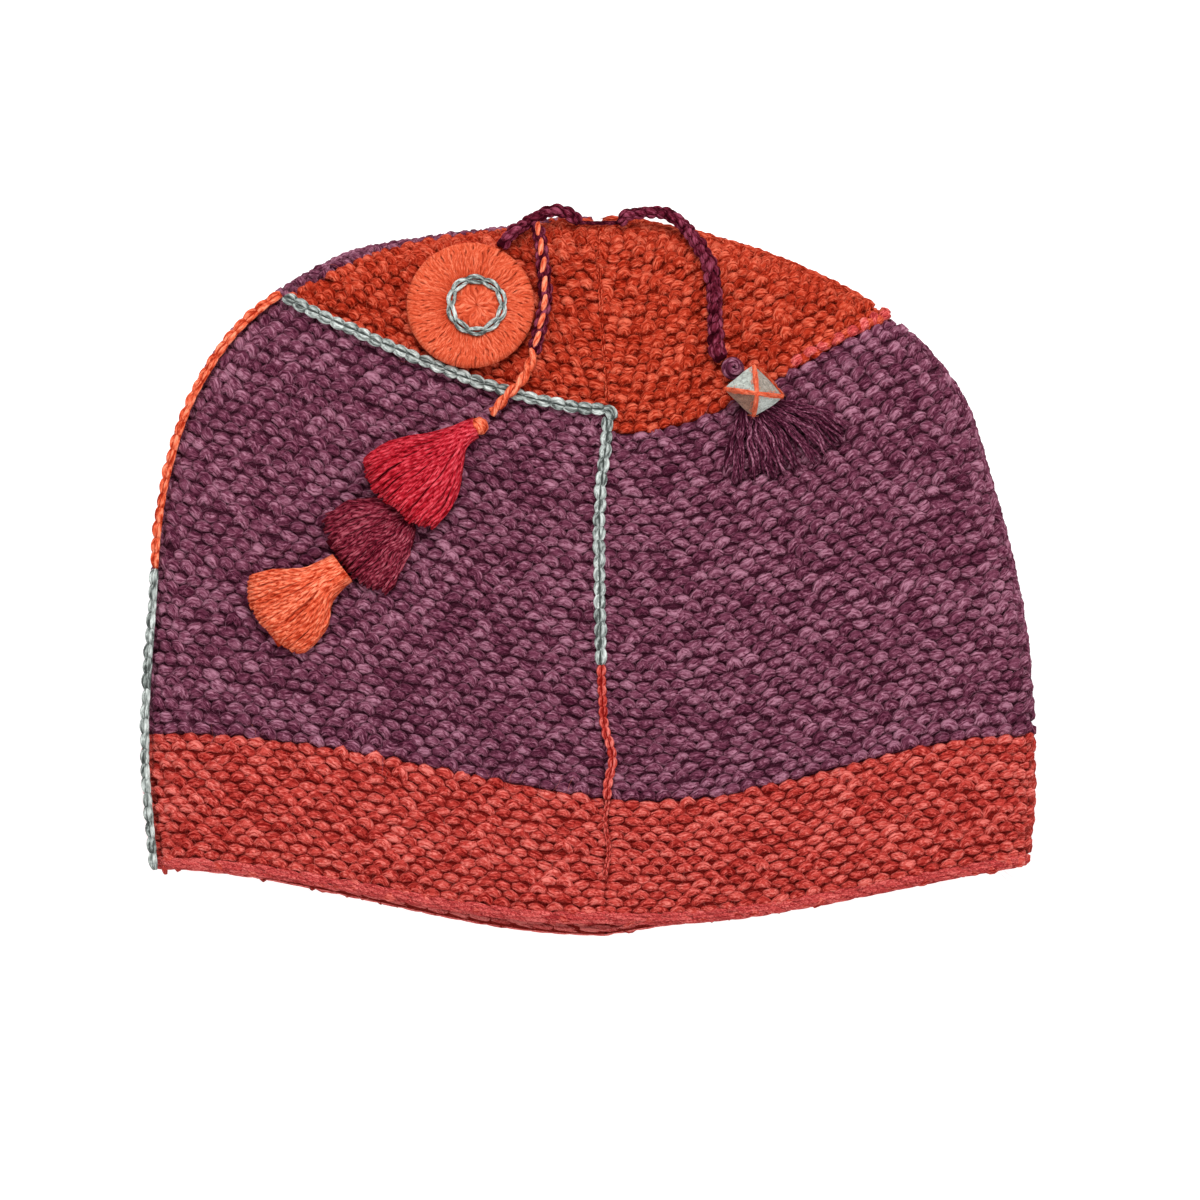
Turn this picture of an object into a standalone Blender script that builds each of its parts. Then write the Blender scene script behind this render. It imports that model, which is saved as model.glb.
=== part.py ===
"""A knitted wool hat of four gores, lying flat on its back, with two cords and tassels sewn to its top.

Metres, +Z up. +X is the wearer's left as the hat lies, +Y points to the top of the crown, and the
floor is z = 0. Every size that can be set by itself is named once, just below. The tables hold
hand-chosen shares of those sizes.
"""

import math
from collections import namedtuple

import bmesh
import bpy
import numpy as np
from mathutils import Matrix, Vector
from mathutils.bvhtree import BVHTree

# Sizes of the knitted body
flat_width = 0.2800
flat_height = 0.2255
loft = 0.0280
fold_height = 0.0080
fabric = 0.0040
clear = 0.0003
plan_shift_x = 0.0006
plan_shift_y = -0.0008

# Where the colours change, as shares of the way from the rim to the top
band_share = 0.19
left_crown_share = 0.735
right_crown_share = 0.705
left_colour_share = 0.381
centre_colour_share = 0.378

# Crocheted chains that cover the seams
chain_width = 0.0040
chain_height = 0.0020
red_chain_width = 0.0032

# Cords and what hangs on them
disc_cord_size = 0.0044
tassel_cord_size = 0.0044
bead_cord_size = 0.0050
root_size = 0.0044
root_length = 0.0130
disc_radius = 0.0205
disc_height = 0.0050
ring_radius = 0.0083
ring_size = 0.0026
knot_size = 0.0062
bead_knot_size = 0.0072
bead_width = 0.0186
bead_length = 0.0164
bead_height = 0.0150
bead_bevel = 0.0009

# Each row is one course of stitches. Across is a share of flat_width from the middle, up is a share of
# flat_height from the lowest point of the rim, and top is the share that the dome has of its full loft.
# Seam is how far the left seam lies on the front, in degrees round from the fold. Dip and swell bend
# the course near the middle and near the side, as shares of flat_height.
Course = namedtuple(
    "Course",
    "along left_x left_y mid_x mid_y right_x right_y back_y top seam dip_l dip_r swell_l swell_r",
)
courses = [
    Course(0.000, -0.490, 0.095, 0.017, 0.018, 0.497, 0.095, 0.000, 0.55, 8, 0.000, 0.018, 0.000, 0.000),
    Course(0.190, -0.500, 0.281, 0.018, 0.191, 0.500, 0.278, 0.185, 0.85, 8, 0.000, 0.025, 0.017, 0.017),
    Course(0.330, -0.493, 0.451, 0.013, 0.331, 0.486, 0.450, 0.325, 1.00, 8, 0.004, 0.027, 0.012, 0.012),
    Course(0.470, -0.480, 0.622, 0.010, 0.471, 0.456, 0.616, 0.465, 1.00, 8, 0.010, 0.030, 0.006, 0.008),
    Course(0.600, -0.440, 0.770, 0.010, 0.601, 0.412, 0.768, 0.600, 0.95, 9, 0.016, 0.033, 0.000, 0.004),
    Course(0.735, -0.354, 0.892, 0.019, 0.735, 0.311, 0.885, 0.735, 0.85, 12, 0.020, 0.032, -0.006, 0.000),
    Course(0.800, -0.275, 0.950, 0.016, 0.800, 0.250, 0.927, 0.800, 0.80, 20, 0.016, 0.026, -0.004, 0.000),
    Course(0.870, -0.176, 0.976, 0.012, 0.870, 0.172, 0.966, 0.870, 0.75, 27, 0.010, 0.016, 0.000, 0.000),
    Course(0.940, -0.076, 0.992, 0.009, 0.940, 0.085, 0.992, 0.940, 0.70, 18, 0.004, 0.006, 0.000, 0.000),
    Course(0.980, -0.025, 1.000, 0.009, 0.982, 0.038, 1.000, 0.982, 0.70, 8, 0.001, 0.001, 0.000, 0.000),
    Course(1.000, 0.009, 1.000, 0.009, 1.000, 0.009, 1.000, 1.000, 0.70, 8, 0.000, 0.000, 0.000, 0.000),
]
dome_reach = 0.075  # how far in from the outline the front goes on rising
faces_across = 12  # the same in every block, so that neighbours stay parallel
right_seam = 12.0  # degrees that the right seam lies under the fold
top_share = 0.988  # where the gores stop, under the cord root
turn = math.radians(0.5)  # step for slopes round the hat

# Routes of the three cords, chosen by hand: across, up, and the height of the cord's underside over
# the fabric, or over the fold where the cord passes outside the hat, in metres.
disc_cord_route = [
    (-0.0070, 0.1128, 0.0072),
    (-0.0100, 0.1150, 0.0075),
    (-0.0140, 0.1162, 0.0075),
    (-0.0182, 0.1152, 0.0073),
    (-0.0220, 0.1122, 0.0070),
    (-0.0250, 0.1088, 0.0030),
]
tassel_cord_route = [
    (-0.0118, 0.1098, 0.0006),
    (-0.0138, 0.1068, 0.0004),
    (-0.0145, 0.1030, 0.0000),
    (-0.0141, 0.0985, 0.0000),
    (-0.0139, 0.0947, 0.0000),
    (-0.0141, 0.0900, 0.0000),
    (-0.0142, 0.0856, 0.0000),
    (-0.0149, 0.0812, 0.0000),
    (-0.0158, 0.0767, 0.0000),
    (-0.0170, 0.0720, 0.0003),
    (-0.0183, 0.0676, 0.0012),
    (-0.0212, 0.0616, 0.0023),
    (-0.0262, 0.0565, 0.0023),
    (-0.0290, 0.0530, 0.0008),
    (-0.0308, 0.0515, 0.0003),
]
bead_cord_route = [
    (0.0133, 0.1130, 0.0072),
    (0.0165, 0.1156, 0.0075),
    (0.0205, 0.1166, 0.0075),
    (0.0250, 0.1160, 0.0072),
    (0.0297, 0.1130, 0.0068),
    (0.0338, 0.1090, 0.0066),
    (0.0366, 0.1045, 0.0003),
    (0.0378, 0.1000, 0.0000),
    (0.0385, 0.0954, 0.0000),
    (0.0391, 0.0905, 0.0000),
    (0.0395, 0.0853, 0.0000),
    (0.0397, 0.0805, 0.0000),
    (0.0398, 0.0755, 0.0000),
    (0.0404, 0.0712, 0.0000),
    (0.0424, 0.0680, 0.0000),
]

# Where the hanging pieces lie on the hat, across and up in metres
disc_place = (-0.0376, 0.0856)
ring_place = (-0.0357, 0.0853)
knot_place = (-0.0346, 0.0481)
bead_knot_place = (0.0458, 0.0651)
bead_place = (0.0522, 0.0585)

# Tassels are fans of locks. Heading is the way they point, in degrees from +X, half is half the width
# at the tips, neck is the same at the top, round shortens the outer locks.
Tassel = namedtuple("Tassel", "across up heading length half neck thick round locks")
tassels = {
    "red_tassel": Tassel(-0.0381, 0.0447, 222.0, 0.0330, 0.0158, 0.0036, 0.0085, 0.18, 8),
    "burgundy_tassel": Tassel(-0.0636, 0.0212, 229.0, 0.0232, 0.0152, 0.0105, 0.0075, 0.16, 7),
    "orange_tassel": Tassel(-0.0796, 0.0022, 216.0, 0.0300, 0.0152, 0.0056, 0.0085, 0.20, 8),
    "bead_tassel": Tassel(0.0531, 0.0503, 291.0, 0.0255, 0.0225, 0.0050, 0.0055, 0.36, 10),
}
# Sections of a tassel: along its length, its width from neck to half, and its thickness
Fan = namedtuple("Fan", "along spread thick")
fan_sections = [
    Fan(0.00, 0.00, 0.62),
    Fan(0.14, 0.28, 0.92),
    Fan(0.42, 0.66, 1.00),
    Fan(0.76, 1.00, 0.80),
    Fan(1.00, 1.02, 0.42),
]
cap_room = 0.22  # share of a cord's size that its slanting end needs beside the root
lock_depth = 0.12
tip_depth = 0.07
edge_thick = 0.22

# Colours
purple = (0.165, 0.050, 0.085)
red = (0.420, 0.045, 0.038)
crown_orange = (0.460, 0.042, 0.016)
chain_blue = (0.380, 0.400, 0.385)
bright_orange = (0.650, 0.105, 0.045)
scarlet = (0.450, 0.017, 0.032)
burgundy = (0.215, 0.023, 0.041)
bead_blue = (0.342, 0.270, 0.235)

objects = []


def clear_scene():
    for old in list(bpy.data.objects):
        bpy.data.objects.remove(old, do_unlink=True)


def collection(name):
    made = bpy.data.collections.new(name)
    bpy.context.scene.collection.children.link(made)
    return made


def wool(name, colour):
    material = bpy.data.materials.get(name)
    if material is None:
        material = bpy.data.materials.new(name)
        material.use_nodes = True
        shader = material.node_tree.nodes["Principled BSDF"]
        shader.inputs["Base Color"].default_value = (*colour, 1.0)
        shader.inputs["Roughness"].default_value = 0.9
        shader.inputs["Metallic"].default_value = 0.0
    return material


def column(name, along):
    """One column of the course table, read at any share along by a smooth curve through its rows."""
    at = np.array([c.along for c in courses])
    value = np.array([getattr(c, name) for c in courses], float)
    slope = np.gradient(value, at)
    along = np.asarray(along, float)
    i = np.clip(np.searchsorted(at, along, side="right") - 1, 0, len(at) - 2)
    width = at[i + 1] - at[i]
    t = (along - at[i]) / width
    start = value[i] * (1 + 2 * t) * (1 - t) ** 2 + slope[i] * width * t * (1 - t) ** 2
    end = value[i + 1] * t**2 * (3 - 2 * t) + slope[i + 1] * width * t**2 * (t - 1)
    return start + end


def outline():
    """The hat's outline from above: up the left fold, over the top, down the right fold, and straight on
    past the rim at both ends."""
    up = 1 - (1 - np.linspace(0, 1, 81)) ** 2
    left = np.column_stack([column("left_x", up), column("left_y", up)])
    right = np.column_stack([column("right_x", up), column("right_y", up)])[::-1][1:]
    line = np.concatenate([left[:1] - (0, 0.3), left, right, right[-1:] - (0, 0.3)])
    return line * (flat_width, flat_height)


def inset(x, y):
    """How far a place lies inside the outline, and the way in from the outline's nearest stretch."""
    line = outline()
    place = np.stack([x, y], axis=-1)[..., None, :]
    start = line[:-1]
    run = line[1:] - start
    share = np.clip(((place - start) * run).sum(-1) / (run * run).sum(-1), 0, 1)
    far = np.sqrt((((place - start) - share[..., None] * run) ** 2).sum(-1))
    nearest = far.argmin(-1)
    share = np.take_along_axis(share, nearest[..., None], axis=-1)
    facing = np.stack([run[:, 1], -run[:, 0]], axis=-1) / np.linalg.norm(run, axis=-1)[:, None]
    corner = np.concatenate([facing[:1], facing[1:] + facing[:-1], facing[-1:]])
    corner /= np.linalg.norm(corner, axis=-1, keepdims=True)
    inward = corner[nearest] * (1 - share) + corner[nearest + 1] * share
    return far.min(-1), inward / np.linalg.norm(inward, axis=-1, keepdims=True)


def surface(angle, along):
    """The hat's outer surface, and which way it faces. Angle goes round from 0 at the front seam, to the
    left below 0 and to the right above 0, a quarter turn at each fold and a half turn at the back seam.
    Along goes from 0 at the rim to 1 at the top. A course runs straight from the seam to the fold, and
    dips and swells. Its height is a round fold at the outline, and a low dome inside it on the front."""
    angle, along = np.broadcast_arrays(np.asarray(angle, float), np.asarray(along, float))
    angle = (angle + math.pi) % (2 * math.pi) - math.pi
    left = angle < 0
    out = np.abs(np.sin(angle))
    rise = np.cos(angle)
    front = rise >= 0
    side_x = np.where(left, column("left_x", along), column("right_x", along))
    side_y = np.where(left, column("left_y", along), column("right_y", along))
    mid_x = column("mid_x", along)
    mid_y = np.where(front, column("mid_y", along), column("back_y", along))
    dip = np.where(left, column("dip_l", along), column("dip_r", along)) * 6.75 * out * (1 - out) ** 2
    swell = np.where(left, column("swell_l", along), column("swell_r", along)) * 6.75 * out**2 * (1 - out)
    x = flat_width * (mid_x + (side_x - mid_x) * out)
    y = flat_height * (mid_y + (side_y - mid_y) * out + (swell - dip) * np.clip(rise * 4, 0, 1))
    deep, inward = inset(x, y)
    edge = inset(flat_width * side_x, flat_height * side_y)[0]
    deep = np.maximum(deep - edge * out, 0)
    lean = 1 - np.clip(deep / fold_height, 0, 1)
    fold = np.sqrt(1 - lean**2)
    crest = np.where(front, (loft - 2 * fold_height) * column("top", along), 0)
    flat = 1 - np.clip(deep / dome_reach, 0, 1)
    z = fold_height + np.where(front, fold_height * fold, -fold_height * fold) + crest * (1 - flat**2)
    steep = lean + fold * crest * 2 * flat / dome_reach
    facing = np.concatenate([-inward * steep[..., None], np.where(front, fold, -fold)[..., None]], axis=-1)
    facing /= np.linalg.norm(facing, axis=-1, keepdims=True)
    return np.stack([x + plan_shift_x, y - 0.5 * flat_height + plan_shift_y, z], axis=-1), facing


def skin(angle, along):
    return surface(angle, along)[0]


def half_gap_turn(angle, along):
    """The angle that moves a point half of the clearance round the hat."""
    around = (skin(angle + turn, along) - skin(angle - turn, along)) / (2 * turn)
    return 0.5 * clear / np.linalg.norm(around, axis=-1)


def left_seam(along):
    return -math.pi / 2 + np.radians(column("seam", along))


def new_object(name, vertices, faces, material, folder, smooth=True):
    mesh = bpy.data.meshes.new(name)
    mesh.from_pydata([tuple(v) for v in vertices], [], faces)
    mesh.update()
    mesh.materials.append(material)
    if smooth:
        mesh.shade_smooth()
        mesh.set_sharp_from_angle(angle=math.radians(50))
    made = bpy.data.objects.new(name, mesh)
    folder.objects.link(made)
    objects.append(made)
    return made


def loft_shell(name, outer, inner, material, folder):
    """A wall between two grids of the same size, outer and inner, closed round its four edges. Its edge
    faces are split the same way on both sides of a seam, so that neighbours stay parallel."""
    rows, across = outer.shape[:2]
    count = rows * across
    vertices = np.concatenate([outer.reshape(-1, 3), inner.reshape(-1, 3)])

    def spot(row, place, layer):
        return layer * count + row * across + place

    faces = []
    for row in range(rows - 1):
        for place in range(across - 1):
            quad = [(row, place), (row, place + 1), (row + 1, place + 1), (row + 1, place)]
            faces.append([spot(r, p, 0) for r, p in quad])
            faces.append([spot(r, p, 1) for r, p in reversed(quad)])
    edge = [(0, p) for p in range(across)]
    edge += [(r, across - 1) for r in range(1, rows)]
    edge += [(rows - 1, p) for p in range(across - 2, -1, -1)]
    edge += [(r, 0) for r in range(rows - 2, 0, -1)]
    for start, end in zip(edge, edge[1:] + edge[:1]):
        low, high = min(start, end), max(start, end)
        upper = [spot(*end, 0), spot(*start, 0), spot(*high, 1)]
        lower = [spot(*start, 1), spot(*end, 1), spot(*low, 0)]
        faces += [upper, lower]
    return new_object(name, vertices, faces, material, folder)


def block(name, start_seam, end_seam, low, high, rows, crowding, material, folder):
    """One knitted block of a gore, from one seam to the next and from one colour change to the next.
    Crowding above 1 brings its sections closer together towards the top."""
    step = 0.5 * clear / flat_height
    start_at = low + (step if low > 0 else 0)
    along = high - step - (high - step - start_at) * np.linspace(1, 0, rows + 1) ** crowding
    start = start_seam(along)
    end = end_seam(along)
    start = start + half_gap_turn(start, along)
    end = end - half_gap_turn(end, along)
    share = np.linspace(0, 1, faces_across + 1)[None, :]
    angle = start[:, None] + (end - start)[:, None] * share
    up = np.broadcast_to(along[:, None], angle.shape)
    outer, facing = surface(angle, up)
    inner = outer - fabric * facing
    return loft_shell(name, outer, inner, material, folder)


def gores(folder):
    """The four gores, each of a band, a panel and a crown block."""
    flat = math.pi

    def front(along):
        return 0 * along

    def right(along):
        return 0 * along + math.pi / 2 + math.radians(right_seam)

    def back_left(along):
        return 0 * along - flat

    def back_right(along):
        return 0 * along + flat

    layout = {
        "front_left": (left_seam, front, left_crown_share, crown_orange, "crown_orange_wool"),
        "front_right": (front, right, right_crown_share, crown_orange, "crown_orange_wool"),
        "back_left": (back_left, left_seam, left_crown_share, purple, "purple_wool"),
        "back_right": (right, back_right, right_crown_share, crown_orange, "crown_orange_wool"),
    }
    for gore, (start, end, crown_from, crown_colour, crown_wool) in layout.items():
        colours = {
            "band": (0.0, band_share, 4, 1.0, red, "red_wool"),
            "panel": (band_share, crown_from, 8, 1.0, purple, "purple_wool"),
            "crown": (crown_from, top_share, 10, 1.4, crown_colour, crown_wool),
        }
        for piece, (low, high, rows, crowding, colour, material) in colours.items():
            made_of = wool(material, colour)
            block(f"{gore}_{piece}", start, end, low, high, rows, crowding, made_of, folder)


def loft_rings(name, rings, material, folder, smooth=True):
    """A closed body through rings of as many points each, with a flat cap at each end."""
    count, sides = rings.shape[:2]
    faces = []
    for i in range(count - 1):
        for j in range(sides):
            k = (j + 1) % sides
            faces.append([i * sides + j, i * sides + k, (i + 1) * sides + k, (i + 1) * sides + j])
    faces.append(list(range(sides))[::-1])
    faces.append([(count - 1) * sides + j for j in range(sides)])
    made = new_object(name, rings.reshape(-1, 3), faces, material, folder, smooth)
    work = bmesh.new()
    work.from_mesh(made.data)
    bmesh.ops.recalc_face_normals(work, faces=work.faces)
    work.to_mesh(made.data)
    work.free()
    return made


def chain(name, angle, along, width, material, folder):
    """A flat crocheted chain over a seam: an ellipse carried along the seam, just clear of the wool."""
    line, normal = surface(angle, along)
    line = line + normal * (clear + chain_height / 2)
    way = np.gradient(line, axis=0)
    way /= np.linalg.norm(way, axis=1, keepdims=True)
    side = np.cross(way, normal)
    side /= np.linalg.norm(side, axis=1, keepdims=True)
    up = np.cross(side, way)
    round_it = np.linspace(0, 2 * math.pi, 8, endpoint=False)
    wide = side[:, None, :] * (np.cos(round_it)[None, :, None] * width / 2)
    tall = up[:, None, :] * (np.sin(round_it)[None, :, None] * chain_height / 2)
    return loft_rings(name, line[:, None, :] + wide + tall, material, folder)


def chains(folder):
    """The chains that show: down the left fold, across under the left crown, down the front seam."""
    blue = wool("chain_blue_wool", chain_blue)
    orange = wool("bright_orange_wool", bright_orange)
    rust = wool("red_wool", red)
    stop = clear / flat_height
    clearance = (chain_width / 2 + 2 * clear) / flat_height
    spacing = 0.014

    def spread(low, high):
        return np.linspace(low, high, max(3, round(abs(high - low) / spacing)))

    high = spread(left_colour_share + stop, left_crown_share)
    chain("left_chain_orange", left_seam(high), high, chain_width, orange, folder)
    low = spread(0.0, left_colour_share - stop)
    chain("left_chain_blue", left_seam(low), low, chain_width, blue, folder)
    start = left_seam(left_crown_share) + half_gap_turn(left_seam(left_crown_share), left_crown_share)
    away = math.asin(min(1.0, 1.35 * chain_width / flat_width))
    angle = np.linspace(start + 3.0 * away, 0.0, 24)
    chain("crown_chain_blue", angle, 0 * angle + left_crown_share, chain_width, blue, folder)
    high = spread(centre_colour_share + stop, left_crown_share - clearance)
    chain("centre_chain_blue", 0 * high, high, chain_width, blue, folder)
    low = spread(0.0, centre_colour_share - stop)
    chain("centre_chain_red", 0 * low, low, red_chain_width, rust, folder)


def fabric_below():
    """A fine copy of the outer surface, to find how high it lies under a point."""
    angle, along = np.meshgrid(np.linspace(-1.7, 1.7, 140), np.linspace(0, 1, 110))
    points = skin(angle, along).reshape(-1, 3)
    across = angle.shape[1]
    faces = []
    for i in range(angle.shape[0] - 1):
        for j in range(across - 1):
            a = i * across + j
            faces.append((a, a + 1, a + across + 1, a + across))
    return BVHTree.FromPolygons([tuple(p) for p in points], faces)


def height(tree, x, y):
    """How high the fabric lies at a place, or the fold's height outside the hat."""
    hit = tree.ray_cast(Vector((x, y, 1.0)), Vector((0, 0, -1)))
    return fold_height if hit[0] is None else hit[0].z


def over(tree, x, y, reach):
    """The height at which a round cord's middle has this reach to the fabric, also where it slopes."""
    hit = tree.ray_cast(Vector((x, y, 1.0)), Vector((0, 0, -1)))
    if hit[0] is None:
        return fold_height + reach
    return hit[0].z + reach / max(abs(hit[1].z), 0.6)


def slope(tree, x, y, reach):
    """Which way the fabric faces under a round piece of this reach."""
    east = height(tree, x + reach, y) - height(tree, x - reach, y)
    north = height(tree, x, y + reach) - height(tree, x, y - reach)
    return Vector((-east, -north, 2 * reach)).normalized()


def smooth_line(points, step):
    """Points a step apart on a smooth curve through the route's own points."""
    points = np.array(points, float)
    along = np.concatenate([[0], np.cumsum(np.linalg.norm(np.diff(points, axis=0), axis=1))])
    slopes = np.gradient(points, along, axis=0)
    at = np.linspace(0, along[-1], max(4, math.ceil(along[-1] / step) + 1))
    i = np.clip(np.searchsorted(along, at, side="right") - 1, 0, len(along) - 2)
    width = (along[i + 1] - along[i])[:, None]
    t = ((at - along[i])[:, None]) / width
    start = points[i] * (1 + 2 * t) * (1 - t) ** 2 + slopes[i] * width * t * (1 - t) ** 2
    end = points[i + 1] * t**2 * (3 - 2 * t) + slopes[i + 1] * width * t**2 * (t - 1)
    return start + end


def cord(name, route, size, ends, material, folder, tree):
    """A round cord on its route, lying on the fabric; ends are places that it starts and stops at."""
    points = [(x, y, over(tree, x, y, clear + size / 2) + lift) for x, y, lift in route]
    points = [*([ends[0]] if ends[0] else []), *points, *([ends[1]] if ends[1] else [])]
    line = smooth_line(points, 0.9 * size)
    data = bpy.data.curves.new(name, "CURVE")
    data.dimensions = "3D"
    data.bevel_depth = size / 2
    data.bevel_resolution = 2
    data.use_fill_caps = True
    spline = data.splines.new("POLY")
    spline.points.add(len(line) - 1)
    for point, place in zip(spline.points, line):
        point.co = (*place, 1.0)
    data.materials.append(material)
    made = bpy.data.objects.new(name, data)
    folder.objects.link(made)
    objects.append(made)
    return made


def turned(name, profile, place, way, material, folder, steps=32):
    """A profile turned about its own axis, standing at a place and leaning the way that is given."""
    mesh = bpy.data.meshes.new(name)
    edges = [(i, i + 1) for i in range(len(profile) - 1)]
    mesh.from_pydata([(r, 0.0, z) for r, z in profile], edges, [])
    mesh.materials.append(material)
    made = bpy.data.objects.new(name, mesh)
    spin = made.modifiers.new("turn", "SCREW")
    spin.steps = steps
    spin.render_steps = steps
    spin.use_merge_vertices = True
    spin.merge_threshold = 0.00005
    spin.use_smooth_shade = True
    made.location = place
    made.rotation_mode = "QUATERNION"
    made.rotation_quaternion = way.to_track_quat("Z", "Y")
    folder.objects.link(made)
    objects.append(made)
    return made


def disc_frame(tree):
    """The middle of the disc's underside, and the way it faces as it lies on the crown."""
    x, y = disc_place
    way = slope(tree, x, y, 0.7 * disc_radius)
    foot = 0.0
    for step in range(24):
        turn_by = 2 * math.pi * step / 24
        for reach in (0.35, 0.7, 0.95):
            px = x + reach * disc_radius * math.cos(turn_by)
            py = y + reach * disc_radius * math.sin(turn_by)
            level = -(way.x * (px - x) + way.y * (py - y)) / way.z
            swell = disc_height * 0.5 * max(0.0, reach**4 - 0.15)
            foot = max(foot, height(tree, px, py) - level - height(tree, x, y) - swell)
    over_chain = 0.0006
    return Vector((x, y, height(tree, x, y) + foot + clear + over_chain)), way


def disc_outline():
    """Half of the disc's section, from the middle of its top down its outer side to the bottom."""
    dish = 0.12 * disc_height
    outline = [(0.0, disc_height - dish)]
    outline.append((0.45 * disc_radius, disc_height))
    for step in range(7):
        part = math.pi / 2 - math.pi * step / 6
        outline.append(
            (
                disc_radius - 0.45 * disc_height * (1 - math.cos(part)) * 1.6,
                disc_height * (0.5 + 0.46 * math.sin(part)),
            )
        )
    outline.append((0.0, 0.0))
    return outline


def disc_and_ring(folder, tree):
    foot, way = disc_frame(tree)
    orange = wool("bright_orange_wool", bright_orange)
    turned("disc", disc_outline(), foot, way, orange, folder)
    lift = disc_height + clear + ring_size / 2
    shift = Vector((ring_place[0] - disc_place[0], ring_place[1] - disc_place[1], 0.0))
    shift.z = -(way.x * shift.x + way.y * shift.y) / way.z
    bpy.ops.mesh.primitive_torus_add(
        major_segments=24,
        minor_segments=6,
        major_radius=ring_radius,
        minor_radius=ring_size / 2,
        location=foot + shift + way * lift,
    )
    ring = bpy.context.object
    ring.rotation_mode = "QUATERNION"
    ring.rotation_quaternion = way.to_track_quat("Z", "Y")
    finish(ring, "disc_ring", wool("chain_blue_wool", chain_blue), folder)


def finish(made, name, material, folder):
    """Names a primitive, gives it its wool and puts it with the other pieces."""
    made.name = name
    made.data.name = name
    made.data.materials.clear()
    made.data.materials.append(material)
    made.data.shade_smooth()
    for other in list(made.users_collection):
        other.objects.unlink(made)
    folder.objects.link(made)
    objects.append(made)


def ball(name, place, size, squash, material, folder, tree):
    """A knot of cord: a ball, a little flattened, resting on the fabric."""
    x, y = place
    tall = size * squash
    bpy.ops.mesh.primitive_uv_sphere_add(segments=12, ring_count=8, radius=size / 2)
    made = bpy.context.object
    made.data.transform(Matrix.Diagonal((1.0, 1.0, squash, 1.0)))
    made.location = (x, y, height(tree, x, y) + clear + tall / 2)
    finish(made, name, material, folder)
    return Vector(made.location)


def root(folder):
    """The short thick end where the cords are sewn to the top of the crown."""
    place, facing = surface(0.0, top_share)
    x, y, z = (float(c) for c in place + facing * (clear + 0.525 * root_size))
    shares = [(-0.50, 0.45), (-0.44, 0.80), (-0.3, 1.0), (0.0, 1.05), (0.3, 1.0), (0.44, 0.80), (0.50, 0.45)]
    turns = np.linspace(0, 2 * math.pi, 8, endpoint=False)
    rings = []
    for along, thick in shares:
        reach = 0.5 * root_size * thick
        ring = [(x + along * root_length, y + reach * math.cos(a), z + reach * math.sin(a)) for a in turns]
        rings.append(ring)
    loft_rings("cord_root", np.array(rings), wool("purple_wool", purple), folder)
    return Vector((x, y, z))


def bead(folder, tree):
    """A felt bead with eight faces, one corner up, its lowest corner sunk flat where it rests."""
    x, y = bead_place
    middle = height(tree, x, y) + clear + bead_height / 2
    corners = [
        (bead_width / 2, -0.05 * bead_length, 0),
        (0, bead_length / 2, 0),
        (-bead_width / 2, 0.05 * bead_length, 0),
        (0, -bead_length / 2, 0),
        (0.0, 0.0, bead_height / 2 * 1.12),
        (0.0, 0.0, -bead_height / 2 * 1.12),
    ]
    work = bmesh.new()
    for corner in corners:
        work.verts.new(corner)
    bmesh.ops.convex_hull(work, input=work.verts)
    mesh = bpy.data.meshes.new("felt_bead")
    work.to_mesh(mesh)
    work.free()
    made = bpy.data.objects.new("felt_bead", mesh)
    soften = made.modifiers.new("soften", "BEVEL")
    soften.width = bead_bevel
    soften.segments = 2
    made.location = (x, y, middle)
    folder.objects.link(made)
    mesh.materials.append(wool("bead_felt", bead_blue))
    objects.append(made)


def tassel(name, t, material, folder, tree):
    """A fan of locks lying on the fabric, thick along its middle and thin at its sides and tips."""
    heading = math.radians(t.heading)
    ahead = np.array([math.cos(heading), math.sin(heading)])
    beside = np.array([-math.sin(heading), math.cos(heading)])
    across = np.linspace(-1, 1, 2 * t.locks + 1)
    ridge = 1 + lock_depth * np.cos(math.pi * np.arange(2 * t.locks + 1))
    rings = []
    for s in fan_sections:
        reach = t.length * s.along * (1 - t.round * across**2)
        if s.along == 1.0:
            reach = reach * (1 - tip_depth * (1 - np.cos(math.pi * np.arange(2 * t.locks + 1))) / 2)
        half = t.neck + (t.half - t.neck) * s.spread
        plan = np.array([t.across, t.up]) + reach[:, None] * ahead + (across * half)[:, None] * beside
        floor = np.array([height(tree, x, y) + clear for x, y in plan])
        body = edge_thick + (1 - edge_thick) * np.sqrt(np.clip(1 - across**4, 0, 1))
        tall = t.thick * s.thick * body * ridge
        top = np.column_stack([plan, floor + tall])
        under = np.column_stack([plan, floor])
        rings.append(np.concatenate([top, under[::-1]]))
    loft_rings(name, np.array(rings), material, folder)


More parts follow.
